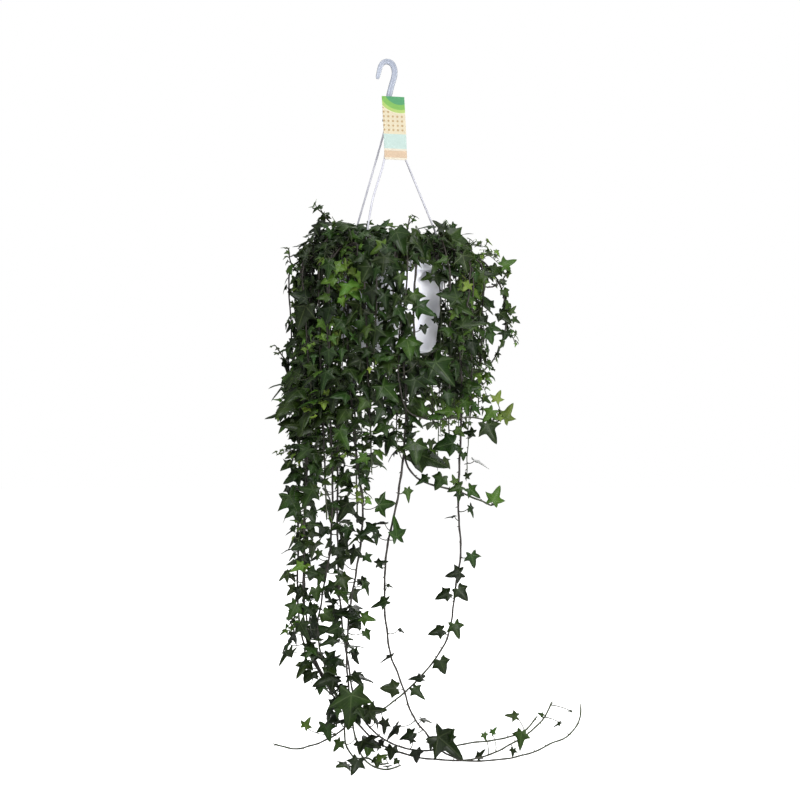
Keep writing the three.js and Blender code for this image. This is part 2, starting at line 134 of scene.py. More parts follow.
def new_material(name: str) -> tuple[bpy.types.Material, bpy.types.NodeTree, bpy.types.Node]:
    """Makes an empty node material that ends in a Principled shader.

    Args:
        name: The material's name.

    Returns:
        The material, its tree and the shader node.
    """
    material = bpy.data.materials.new(name)
    material.use_nodes = True
    tree = material.node_tree
    tree.nodes.clear()
    shader = add_node(tree, "ShaderNodeBsdfPrincipled")
    add_node(tree, "ShaderNodeOutputMaterial", {"Surface": shader.outputs[0]})
    return material, tree, shader


# Finishes


@dataclass(frozen=True)
class LeafFinish:
    """The waxy upper side or the matt underside of an ivy leaf."""

    name: str
    stops: tuple[tuple[float, str], ...]
    vein: str
    vein_share: float
    roughness: float
    gloss: float
    relief_mm: float

    def make(self) -> bpy.types.Material:
        """Builds the leaf material.

        The cuticle of ivy is smooth and waxy, which gives broad soft highlights on a dark green; the veins
        are paler and lie a little sunk. Young blades are yellow-green.

        Returns:
            The material.
        """
        material, tree, shader = new_material(self.name)
        growth = add_node(tree, "ShaderNodeAttribute", attribute_name="growth")
        marks = add_node(tree, "ShaderNodeSeparateColor", {"Color": growth.outputs["Color"]})
        place = add_node(tree, "ShaderNodeUVMap", uv_map="Blade")
        half = add_node(tree, "ShaderNodeVectorMath", {0: place.outputs["UV"]}, operation="ABSOLUTE")
        split = add_node(tree, "ShaderNodeSeparateXYZ", {"Vector": place.outputs["UV"]})
        across = add_node(tree, "ShaderNodeSeparateXYZ", {"Vector": half.outputs["Vector"]})
        folded = add_node(
            tree, "ShaderNodeCombineXYZ", {"X": across.outputs["X"], "Y": split.outputs["Y"]}
        )
        # The main veins run from the stalk to the tips of the lobes: each is a line through the origin.
        veins = None
        for angle, width in ((0.0, 0.026), (66.0, 0.02), (128.0, 0.016)):
            line = (math.cos(math.radians(angle)), -math.sin(math.radians(angle)), 0.0)
            ahead = (math.sin(math.radians(angle)), math.cos(math.radians(angle)), 0.0)
            off = add_node(
                tree, "ShaderNodeVectorMath", {0: folded.outputs["Vector"], 1: line}, operation="DOT_PRODUCT"
            )
            off = add_node(tree, "ShaderNodeMath", {0: off.outputs["Value"]}, operation="ABSOLUTE")
            line_mask = add_node(
                tree,
                "ShaderNodeMapRange",
                {"Value": off.outputs[0], "From Min": width, "From Max": width * 0.3},
                interpolation_type="SMOOTHSTEP",
            )
            along = add_node(
                tree, "ShaderNodeVectorMath", {0: folded.outputs["Vector"], 1: ahead}, operation="DOT_PRODUCT"
            )
            started = add_node(
                tree, "ShaderNodeMapRange", {"Value": along.outputs["Value"], "From Max": 0.04}
            )
            mask = add_node(
                tree,
                "ShaderNodeMath",
                {0: line_mask.outputs["Result"], 1: started.outputs["Result"]},
                operation="MULTIPLY",
            )
            veins = mask if veins is None else add_node(
                tree, "ShaderNodeMath", {0: veins.outputs[0], 1: mask.outputs[0]}, operation="MAXIMUM"
            )
        # Side veins leave the midrib at about 50 degrees, one every tenth of the blade.
        slant = add_node(
            tree,
            "ShaderNodeVectorMath",
            {0: folded.outputs["Vector"], 1: (-8.0, 9.5, 0.0)},
            operation="DOT_PRODUCT",
        )
        wave = add_node(tree, "ShaderNodeMath", {0: slant.outputs["Value"], 1: 0.5}, operation="PINGPONG")
        side = add_node(
            tree,
            "ShaderNodeMapRange",
            {"Value": wave.outputs[0], "From Min": 0.09, "From Max": 0.02, "To Max": 0.45},
            interpolation_type="SMOOTHSTEP",
        )
        veins = add_node(
            tree, "ShaderNodeMath", {0: veins.outputs[0], 1: side.outputs["Result"]}, operation="MAXIMUM"
        )
        coords = add_node(tree, "ShaderNodeTexCoord")
        # Blotches about 12 mm wide and a net of cells about 1.5 mm wide.
        blotch = add_node(
            tree, "ShaderNodeTexNoise", {"Vector": coords.outputs["Object"], "Scale": 80.0, "Detail": 4.0}
        )
        net = add_node(tree, "ShaderNodeTexVoronoi", {"Vector": coords.outputs["Object"], "Scale": 650.0})
        tone = add_node(
            tree,
            "ShaderNodeMath",
            {0: blotch.outputs["Fac"], 1: 0.34, 2: marks.outputs["Red"]},
            operation="MULTIPLY_ADD",
        )
        tone = add_node(tree, "ShaderNodeMath", {0: tone.outputs[0], 1: 0.17}, operation="SUBTRACT")
        ramp = add_node(tree, "ShaderNodeValToRGB", {"Fac": tone.outputs[0]})
        set_ramp(ramp, self.stops)
        lit = add_node(
            tree, "ShaderNodeMath", {0: veins.outputs[0], 1: self.vein_share}, operation="MULTIPLY"
        )
        # The veins are a paler tone of the blade's own green.
        pale = add_node(
            tree,
            "ShaderNodeMix",
            {0: 0.55, 6: ramp.outputs["Color"], 7: linear(self.vein)},
            data_type="RGBA",
        )
        mixed = add_node(
            tree,
            "ShaderNodeMix",
            {0: lit.outputs[0], 6: ramp.outputs["Color"], 7: pale.outputs[2]},
            data_type="RGBA",
        )
        # Each leaf has a hue of its own, from olive to a cooler green.
        hue = add_node(
            tree, "ShaderNodeMapRange", {"Value": marks.outputs["Blue"], "To Min": 0.474, "To Max": 0.508}
        )
        # The green mark sets the value: a random tone, times a painted shade on the leaves that hang close to the
        # pot.
        tinted = add_node(
            tree,
            "ShaderNodeHueSaturation",
            {"Hue": hue.outputs["Result"], "Color": mixed.outputs[2], "Value": marks.outputs["Green"]},
        )
        tree.links.new(tinted.outputs["Color"], shader.inputs["Base Color"])
        rough = add_node(
            tree,
            "ShaderNodeMapRange",
            {"Value": blotch.outputs["Fac"], "To Min": self.roughness - 0.1, "To Max": self.roughness + 0.12},
        )
        tree.links.new(rough.outputs["Result"], shader.inputs["Roughness"])
        shader.inputs["Specular IOR Level"].default_value = self.gloss
        shader.inputs["IOR"].default_value = 1.45
        relief = add_node(
            tree,
            "ShaderNodeMath",
            {0: net.outputs["Distance"], 1: 0.25, 2: veins.outputs[0]},
            operation="MULTIPLY_ADD",
        )
        bump = add_node(
            tree,
            "ShaderNodeBump",
            {"Height": relief.outputs[0], "Strength": 0.5, "Distance": self.relief_mm * MM},
            invert=True,
        )
        tree.links.new(bump.outputs["Normal"], shader.inputs["Normal"])
        return material


@dataclass(frozen=True)
class StemFinish:
    """Thin bark on the stems, green on the stalks and the growing ends."""

    name: str = "ivy_bark"
    bark: str = "14110d"
    bark_pale: str = "2c251d"
    green: str = "2f3c19"

    def make(self) -> bpy.types.Material:
        """Builds the stem material.

        Ivy bark is dull grey-brown with pale corky pores; the young ends and leaf stalks are green with a
        touch of red-brown.

        Returns:
            The material.
        """
        material, tree, shader = new_material(self.name)
        growth = add_node(tree, "ShaderNodeAttribute", attribute_name="growth")
        marks = add_node(tree, "ShaderNodeSeparateColor", {"Color": growth.outputs["Color"]})
        coords = add_node(tree, "ShaderNodeTexCoord")
        # Fibres about 1 mm across, stretched along the mostly upright stems.
        stretched = add_node(
            tree, "ShaderNodeMapping", {"Vector": coords.outputs["Object"], "Scale": (1.0, 1.0, 0.25)}
        )
        fibre = add_node(
            tree, "ShaderNodeTexNoise", {"Vector": stretched.outputs[0], "Scale": 900.0, "Detail": 3.0}
        )
        pores = add_node(tree, "ShaderNodeTexVoronoi", {"Vector": coords.outputs["Object"], "Scale": 420.0})
        bark = add_node(tree, "ShaderNodeValToRGB", {"Fac": fibre.outputs["Fac"]})
        set_ramp(bark, ((0.3, self.bark), (0.72, self.bark_pale)))
        mixed = add_node(
            tree,
            "ShaderNodeMix",
            {0: marks.outputs["Red"], 6: bark.outputs["Color"], 7: linear(self.green)},
            data_type="RGBA",
        )
        tree.links.new(mixed.outputs[2], shader.inputs["Base Color"])
        shader.inputs["Roughness"].default_value = 0.62
        relief = add_node(
            tree,
            "ShaderNodeMath",
            {0: pores.outputs["Distance"], 1: fibre.outputs["Fac"]},
            operation="ADD",
        )
        bump = add_node(
            tree, "ShaderNodeBump", {"Height": relief.outputs[0], "Strength": 0.6, "Distance": 0.2 * MM}
        )
        tree.links.new(bump.outputs["Normal"], shader.inputs["Normal"])
        return material


@dataclass(frozen=True)
class PlasticFinish:
    """Moulded polypropylene, white or clear."""

    name: str
    colour: str
    worn: str
    roughness: float
    relief_mm: float = 0.01
    transmission: float = 0.0
    # The colour of a painted shade where the surface turns edge-on to the eye; none if empty.
    edge: str = ""

    def make(self) -> bpy.types.Material:
        """Builds the moulded plastic.

        Injection-moulded polypropylene has a soft satin sheen with faint flow marks and fine scuffs. Where an
        edge colour is given, a painted shade darkens the colour where the surface turns edge-on to the eye; on
        the clear kind it stands for the plastic seen through its length.

        Returns:
            The material.
        """
        material, tree, shader = new_material(self.name)
        coords = add_node(tree, "ShaderNodeTexCoord")
        # Flow marks about 25 mm wide, and scuffs under 1 mm.
        flow = add_node(
            tree, "ShaderNodeTexNoise", {"Vector": coords.outputs["Object"], "Scale": 40.0, "Detail": 5.0}
        )
        scuff = add_node(
            tree, "ShaderNodeTexNoise", {"Vector": coords.outputs["Object"], "Scale": 1400.0, "Detail": 2.0}
        )
        colour = add_node(tree, "ShaderNodeValToRGB", {"Fac": flow.outputs["Fac"]})
        set_ramp(colour, ((0.35, self.worn), (0.6, self.colour)))
        shown = colour.outputs["Color"]
        if self.edge:
            # Painted shade: the colour darkens towards the edge colour where the surface turns edge-on to the eye.
            facing = add_node(tree, "ShaderNodeLayerWeight", {"Blend": 0.5})
            rim = add_node(
                tree,
                "ShaderNodeMapRange",
                {"Value": facing.outputs["Facing"], "From Min": 0.25, "From Max": 0.7},
                interpolation_type="SMOOTHSTEP",
            )
            painted_edge_shade = add_node(
                tree,
                "ShaderNodeMix",
                {0: rim.outputs["Result"], 6: shown, 7: linear(self.edge)},
                data_type="RGBA",
            )
            shown = painted_edge_shade.outputs[2]
        tree.links.new(shown, shader.inputs["Base Color"])
        rough = add_node(
            tree,
            "ShaderNodeMapRange",
            {"Value": flow.outputs["Fac"], "To Min": self.roughness - 0.06, "To Max": self.roughness + 0.08},
        )
        tree.links.new(rough.outputs["Result"], shader.inputs["Roughness"])
        bump = add_node(
            tree,
            "ShaderNodeBump",
            {"Height": scuff.outputs["Fac"], "Strength": 0.2, "Distance": self.relief_mm * MM},
        )
        tree.links.new(bump.outputs["Normal"], shader.inputs["Normal"])
        shader.inputs["IOR"].default_value = 1.49
        shader.inputs["Specular IOR Level"].default_value = 0.3 if self.edge else 0.5
        shader.inputs["Transmission Weight"].default_value = self.transmission
        return material


@dataclass(frozen=True)
class PottingMixFinish:
    """Damp peat and bark with white perlite grains."""

    name: str = "potting_mix"
    stops: tuple[tuple[float, str], ...] = ((0.3, "1d140e"), (0.5, "35261b"), (0.7, "54402e"))

    def make(self) -> bpy.types.Material:
        """Builds the potting mix: dark, dull and crumbly, with a few pale grains.

        Returns:
            The material.
        """
        material, tree, shader = new_material(self.name)
        coords = add_node(tree, "ShaderNodeTexCoord")
        # Crumbs about 3 mm wide, perlite grains about 4 mm apart.
        crumb = add_node(
            tree, "ShaderNodeTexNoise", {"Vector": coords.outputs["Object"], "Scale": 330.0, "Detail": 6.0}
        )
        grain = add_node(tree, "ShaderNodeTexVoronoi", {"Vector": coords.outputs["Object"], "Scale": 110.0})
        soil = add_node(tree, "ShaderNodeValToRGB", {"Fac": crumb.outputs["Fac"]})
        set_ramp(soil, self.stops)
        fleck = add_node(
            tree, "ShaderNodeMapRange", {"Value": grain.outputs["Distance"], "From Min": 0.16, "From Max": 0.12}
        )
        mixed = add_node(
            tree,
            "ShaderNodeMix",
            {0: fleck.outputs["Result"], 6: soil.outputs["Color"], 7: linear("c9c4b8")},
            data_type="RGBA",
        )
        tree.links.new(mixed.outputs[2], shader.inputs["Base Color"])
        shader.inputs["Roughness"].default_value = 0.92
        bump = add_node(
            tree, "ShaderNodeBump", {"Height": crumb.outputs["Fac"], "Strength": 1.0, "Distance": 2.0 * MM}
        )
        tree.links.new(bump.outputs["Normal"], shader.inputs["Normal"])
        return material


@dataclass(frozen=True)
class TagFinish:
    """A glossy printed card with a generic pattern and no lettering."""

    name: str = "printed_card"

    def make(self) -> bpy.types.Material:
        """Builds the print from bands and arcs on the card's own map, which is in card heights.

        Returns:
            The material.
        """
        material, tree, shader = new_material(self.name)
        place = add_node(tree, "ShaderNodeUVMap", uv_map="Print")
        split = add_node(tree, "ShaderNodeSeparateXYZ", {"Vector": place.outputs["UV"]})
        # The ground: cream in the middle, mint below, tan at the foot.
        ground = add_node(tree, "ShaderNodeValToRGB", {"Fac": split.outputs["Y"]})
        ground.color_ramp.interpolation = "CONSTANT"
        set_ramp(
            ground, ((0.0, "b5ae9f"), (0.03, "ac9780"), (0.14, "b5ae9f"), (0.17, "9bada8"), (0.4, "b3aa93"))
        )
        # Green hills at the top: rings about a point above the card.
        spread = add_node(
            tree, "ShaderNodeVectorMath", {0: place.outputs["UV"], 1: (0.3, 1.12, 0.0)}, operation="DISTANCE"
        )
        hills = add_node(tree, "ShaderNodeValToRGB", {"Fac": spread.outputs["Value"]})
        hills.color_ramp.interpolation = "CONSTANT"
        set_ramp(hills, ((0.0, "467f58"), (0.25, "67934a"), (0.33, "8da35c"), (0.38, "b8b19a")))
        top = add_node(
            tree, "ShaderNodeMath", {0: spread.outputs["Value"], 1: 0.4}, operation="LESS_THAN"
        )
        # A plain row of round dots across the cream field.
        dots = add_node(
            tree, "ShaderNodeVectorMath", {0: place.outputs["UV"], "Scale": 14.0}, operation="SCALE"
        )
        dots = add_node(
            tree, "ShaderNodeVectorMath", {0: dots.outputs["Vector"]}, operation="FRACTION"
        )
        round_off = add_node(
            tree, "ShaderNodeVectorMath", {0: dots.outputs["Vector"], 1: (0.5, 0.5, 0.0)}, operation="DISTANCE"
        )
        dot = add_node(
            tree, "ShaderNodeMath", {0: round_off.outputs["Value"], 1: 0.24}, operation="LESS_THAN"
        )
        field_mask = add_node(
            tree, "ShaderNodeMath", {0: split.outputs["Y"], 1: 0.42}, operation="GREATER_THAN"
        )
        dotted = add_node(
            tree, "ShaderNodeMath", {0: dot.outputs[0], 1: field_mask.outputs[0]}, operation="MULTIPLY"
        )
        with_dots = add_node(
            tree,
            "ShaderNodeMix",
            {0: dotted.outputs[0], 6: ground.outputs["Color"], 7: linear("96805f")},
            data_type="RGBA",
        )
        printed = add_node(
            tree,
            "ShaderNodeMix",
            {0: top.outputs[0], 6: with_dots.outputs[2], 7: hills.outputs["Color"]},
            data_type="RGBA",
        )
        tree.links.new(printed.outputs[2], shader.inputs["Base Color"])
        shader.inputs["Roughness"].default_value = 0.3
        shader.inputs["IOR"].default_value = 1.5
        coords = add_node(tree, "ShaderNodeTexCoord")
        # Slight waviness of a thin sheet, about 20 mm long.
        sag = add_node(tree, "ShaderNodeTexNoise", {"Vector": coords.outputs["Object"], "Scale": 50.0})
        bump = add_node(
            tree, "ShaderNodeBump", {"Height": sag.outputs["Fac"], "Strength": 0.2, "Distance": 0.5 * MM}
        )
        tree.links.new(bump.outputs["Normal"], shader.inputs["Normal"])
        return material


# Mesh helpers


def to_object(bm: bmesh.types.BMesh, name: str, materials: Iterable[bpy.types.Material]) -> bpy.types.Object:
    """Turns a bmesh to an object in the scene, at the origin.

    Args:
        bm: The mesh in metres, which is freed.
        name: The object's name.
        materials: Its materials, in the order of the faces' material numbers.

    Returns:
        The object.
    """
    mesh = bpy.data.meshes.new(name)
    bm.to_mesh(mesh)
    bm.free()
    for material in materials:
        mesh.materials.append(material)
    obj = bpy.data.objects.new(name, mesh)
    bpy.context.scene.collection.objects.link(obj)
    return obj


def place(obj: bpy.types.Object, nodes: Sequence[str], slot: str) -> bpy.types.Object:
    """Makes a piece ride on the part's one body in the place of its CAD nodes, and reports it.

    Args:
        obj: The piece.
        nodes: The CAD nodes that it stands for.
        slot: The record's material slot. It is not used.

    Returns:
        The piece.
    """
    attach(obj, "root")
    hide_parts(*nodes)
    LOG.info("%s: %d faces", obj.name, len(obj.data.polygons))
    return obj


def spun(profile: Sequence[tuple[float, float]], steps: int) -> bmesh.types.BMesh:
    """Turns a profile round the Z axis.

    Args:
        profile: Radius and height pairs in millimetres, from the axis back to the axis.
        steps: How many steps the full turn has.

    Returns:
        The closed mesh.
    """
    bm = bmesh.new()
    line = [bm.verts.new((radius * MM, 0.0, height * MM)) for radius, height in profile]
    edges = [bm.edges.new(pair) for pair in zip(line, line[1:])]
    bmesh.ops.spin(
        bm,
        geom=line + edges,
        cent=(0.0, 0.0, 0.0),
        axis=(0.0, 0.0, 1.0),
        angle=2 * math.pi,
        steps=steps,
        use_merge=True,
    )
    bmesh.ops.remove_doubles(bm, verts=bm.verts[:], dist=1e-6)
    bmesh.ops.recalc_face_normals(bm, faces=bm.faces[:])
    return bm


def rounded(corners: Sequence[tuple[float, float, float]], steps: int = 4) -> list[tuple[float, float]]:
    """Rounds the corners of an open profile.

    Args:
        corners: Each corner's two coordinates and its radius.
        steps: How many chords a rounded corner has.

    Returns:
        The points of the rounded profile.
    """
    out: list[tuple[float, float]] = []
    for i, (x, y, radius) in enumerate(corners):
        here = Vector((x, y))
        if radius <= 0 or i in (0, len(corners) - 1):
            out.append((x, y))
            continue
        before = Vector(corners[i - 1][:2]) - here
        after = Vector(corners[i + 1][:2]) - here
        cut = min(radius, 0.45 * before.length, 0.45 * after.length)
        start, end = here + before.normalized() * cut, here + after.normalized() * cut
        for step in range(steps + 1):
            t = step / steps
            point = start * (1 - t) ** 2 + here * 2 * t * (1 - t) + end * t**2
            out.append((point.x, point.y))
    return out


def combine(obj: bpy.types.Object, others: Iterable[bpy.types.Object], operation: str) -> None:
    """Joins other shapes to an object's mesh, or cuts them out, and removes them.

    Args:
        obj: The object to change.
        others: The shapes to join or cut out.
        operation: Blender's name of the operation, such as "UNION".
    """
    for other in others:
        modifier = obj.modifiers.new("combine", "BOOLEAN")
        modifier.operation = operation
        modifier.solver = "EXACT"
        modifier.object = other
        done = bpy.data.meshes.new_from_object(obj.evaluated_get(bpy.context.evaluated_depsgraph_get()))
        obj.modifiers.clear()
        obj.data = done
        bpy.data.objects.remove(other)


def cylinder(foot: Vector, radius: float, height: float, sides: int = 24) -> bpy.types.Object:
    """Makes an upright cylinder to join or cut with.

    Args:
        foot: The middle of its foot, in millimetres.
        radius: Its radius in millimetres.
        height: Its height in millimetres.
        sides: How many sides it has.

    Returns:
        The object.
    """
    bm = bmesh.new()
    bmesh.ops.create_cone(
        bm,
        cap_ends=True,
        segments=sides,
        radius1=radius * MM,
        radius2=radius * MM,
        depth=height * MM,
        matrix=Matrix.Translation((foot + UP * height / 2) * MM),
    )
    return to_object(bm, "cutter", [])


def smooth_by_angle(obj: bpy.types.Object, degrees: float = 35.0) -> None:
    """Shades an object smooth, with sharp edges where faces meet at more than the angle."""
    bm = bmesh.new()
    bm.from_mesh(obj.data)
    for face in bm.faces:
        face.smooth = True
    for edge in bm.edges:
        edge.smooth = len(edge.link_faces) == 2 and edge.calc_face_angle(0.0) < math.radians(degrees)
    bm.to_mesh(obj.data)
    bm.free()


@dataclass
class Route:
    """A smooth line through given points, as stations a set distance apart."""

    points: list[Vector]
    step: float
    stations: list[Vector] = field(init=False)
    length: float = field(init=False)

    def __post_init__(self) -> None:
        """Works out the stations, all in millimetres."""
        ends = [self.points[0] * 2 - self.points[1], *self.points, self.points[-1] * 2 - self.points[-2]]
        fine: list[Vector] = []
        for i in range(len(self.points) - 1):
            fine += [self._between(ends[i : i + 4], k / 16) for k in range(16)]
        fine.append(self.points[-1])
        spans = [(b - a).length for a, b in zip(fine, fine[1:])]
        self.length = sum(spans)
        count = max(4, round(self.length / self.step))
        self.stations = [fine[0]]
        gone, i = 0.0, 0
        for k in range(1, count):
            want = self.length * k / count
            while gone + spans[i] < want:
                gone += spans[i]
                i += 1
            self.stations.append(fine[i].lerp(fine[i + 1], (want - gone) / spans[i]))
        self.stations.append(fine[-1])

    @staticmethod
    def _between(four: Sequence[Vector], t: float) -> Vector:
        """Gives the point at share t between the middle two of four points, on a centripetal spline."""
        p0, p1, p2, p3 = four
        d0, d1, d2 = ((b - a).length ** 0.5 for a, b in zip(four, four[1:]))
        m1 = ((p1 - p0) / d0 - (p2 - p0) / (d0 + d1) + (p2 - p1) / d1) * d1
        m2 = ((p2 - p1) / d1 - (p3 - p1) / (d1 + d2) + (p3 - p2) / d2) * d1
        c2 = -3 * p1 + 3 * p2 - 2 * m1 - m2
        c3 = 2 * p1 - 2 * p2 + m1 + m2
        return p1 + m1 * t + c2 * t**2 + c3 * t**3

    def at(self, along: float) -> tuple[Vector, Vector]:
        """Gives the point and the direction at a distance along the route."""
        place_on = max(0.0, min(0.9999, along / self.length)) * (len(self.stations) - 1)
        below = int(place_on)
        a, b = self.stations[below : below + 2]
        return a.lerp(b, place_on - below), (b - a).normalized()


class TubeMaker:
    """Lays round or flattened tubes along lines, from straight tubes that are kept as patterns."""

    def __init__(self) -> None:
        """Starts with no patterns."""
        self._patterns: dict[tuple[int, int], bpy.types.Mesh] = {}

    def _pattern(self, sides: int, spans: int) -> bpy.types.Mesh:
        """Gives the straight tube of radius 1 from z = 0 to z = spans, with a ring at each whole z."""
        key = (sides, spans)
        if key not in self._patterns:
            bm = bmesh.new()
            bmesh.ops.create_cone(
                bm,
                cap_ends=True,
                segments=sides,
                radius1=1.0,
                radius2=1.0,
                depth=spans,
                matrix=Matrix.Translation((0.0, 0.0, spans / 2)),
            )
            upright = [e for e in bm.edges if abs(e.verts[0].co.z - e.verts[1].co.z) > 0.5]
            bmesh.ops.subdivide_edges(bm, edges=upright, cuts=spans - 1, use_grid_fill=True)
            for face in bm.faces:
                face.smooth = len(face.verts) == 4
            mesh = bpy.data.meshes.new("tube_pattern")
            bm.to_mesh(mesh)
            bm.free()
            self._patterns[key] = mesh
        return self._patterns[key]

    def lay(
        self,
        bm: bmesh.types.BMesh,
        line: Sequence[Vector],
        radii: Sequence[float],
        sides: int,
        growth: Callable[[float], tuple[float, float, float, float]] | None = None,
        section: Callable[[float, float], tuple[float, float]] | None = None,
    ) -> None:
        """Adds a tube along a line.

        Args:
            bm: The mesh to add to, in metres.
            line: The tube's middle, ring by ring, in millimetres.
            radii: The radius of each ring in millimetres.
            sides: How many sides the tube has.
            growth: Gives the growth mark for a share of the length.
            section: Turns a point on the round section of radius 1 to one on another section.
        """
        spans = len(line) - 1
        first = len(bm.verts)
        bm.from_mesh(self._pattern(sides, spans))
        bm.verts.ensure_lookup_table()
        layer = bm.verts.layers.float_color.get("growth") if growth else None
        frames: list[tuple[Vector, Vector]] = []
        ahead = (line[1] - line[0]).normalized()
        side = ahead.cross(Vector((0.0, 1.0, 0.0)))
        side = side.normalized() if side.length > 0.1 else Vector((1.0, 0.0, 0.0))
        for i in range(spans + 1):
            ahead = (line[min(i + 1, spans)] - line[max(i - 1, 0)]).normalized()
            side = (side - ahead * side.dot(ahead)).normalized()
            frames.append((side, ahead.cross(side)))
        for vert in bm.verts[first:]:
            ring = min(spans, max(0, round(vert.co.z)))
            along, across = frames[ring]
            u, v = section(vert.co.x, vert.co.y) if section else vert.co.xy
            offset = along * u + across * v
            if layer is not None and growth is not None:
                vert[layer] = growth(ring / spans)
            vert.co = (line[ring] + offset * radii[ring]) * MM


# The made parts


@dataclass
class Pot:
    """The tapered shell with its rim, foot ring, clip holes and drainage holes."""

    height: float = 136.0
    rim_radius: float = 100.0
    shoulder_radius: float = 92.0
    base_radius: float = 75.0
    wall: float = 1.6
    foot: float = 4.0
    floor: float = 4.0
    skirt: float = 15.0
    flange: float = 2.0
    finish: PlasticFinish = PlasticFinish("white_moulded_polypropylene", "f4f5fc", "eaebf5", 0.34, 0.05)

    def profile(self) -> list[tuple[float, float]]:
        """Gives the section with rounded edges, from the axis under the floor to the axis on it."""
        base = RIM_Z - self.height
        under = RIM_Z - self.flange
        top = base + self.foot + self.floor
        inner = self.shoulder_radius - self.wall
        return rounded(
            [
                (0.0, base + self.foot, 0.0),
                (self.base_radius - 16, base + self.foot, 1.5),
                (self.base_radius - 13, base, 1.0),
                (self.base_radius - 1.0, base, 2.5),
                (self.base_radius + 1.0, base + 6, 2.0),
                (self.shoulder_radius - 1.2, under - 16, 2.0),
                (self.shoulder_radius, under, 1.0),
                (self.rim_radius - self.wall, under, 0.8),
                (self.rim_radius - self.wall + 0.4, RIM_Z - self.skirt, 0.4),
                (self.rim_radius + 0.4, RIM_Z - self.skirt, 0.8),
                (self.rim_radius, RIM_Z, 2.2),
                (inner + 0.3, RIM_Z, 1.4),
                (inner - 3.0, RIM_Z - 30, 6.0),
                (self.base_radius - self.wall + 0.6, top, 3.0),
                (0.0, top, 0.0),
            ]
        )

    def build(self) -> bpy.types.Object:
        """Builds and dresses the pot.

        Returns:
            The piece.
        """
        pot = to_object(spun(self.profile(), 96), "pot_shell", [self.finish.make()])
        holes = [cylinder(polar(a, 95.0, RIM_Z - 6), 1.75, 10.0) for a in STRAND_AZIMUTHS.values()]
        drains = [cylinder(polar(72.0 * i, 38.0, RIM_Z - self.height - 2), 4.5, 14.0) for i in range(5)]
        combine(pot, holes + drains, "DIFFERENCE")
        smooth_by_angle(pot)
        return place(pot, ["pot"], "white_plastic")


@dataclass
class PottingMix:
    """The crumbly surface and body of the potting mix."""

    radius: float = 87.2
    base_radius: float = 73.0
    depth: float = 110.0
    finish: PottingMixFinish = PottingMixFinish()

    def build(self) -> bpy.types.Object:
        """Builds and dresses the potting mix.

        Returns:
            The piece.
        """
        low = SOIL_Z - self.depth
        rings = 22
        top = [(self.radius * (1 - i / rings), SOIL_Z + 3.0 * i / rings) for i in range(rings + 1)]
        bm = spun([(0.0, low), (self.base_radius, low), *top], 72)
        for vert in bm.verts:
            if vert.co.z > (SOIL_Z - 1) * MM:
                near_wall = min(1.0, (self.radius * MM - vert.co.xy.length) / 0.01)
                lumps = noise.fractal(vert.co * 140.0, 1.0, 2.0, 4)
                vert.co.z += lumps * 1.6 * MM * near_wall - 0.6 * MM
        for face in bm.faces:
            face.smooth = True
        mix = to_object(bm, "potting_mix_fill", [self.finish.make()])
        return place(mix, ["potting_mix"], "potting_mix")


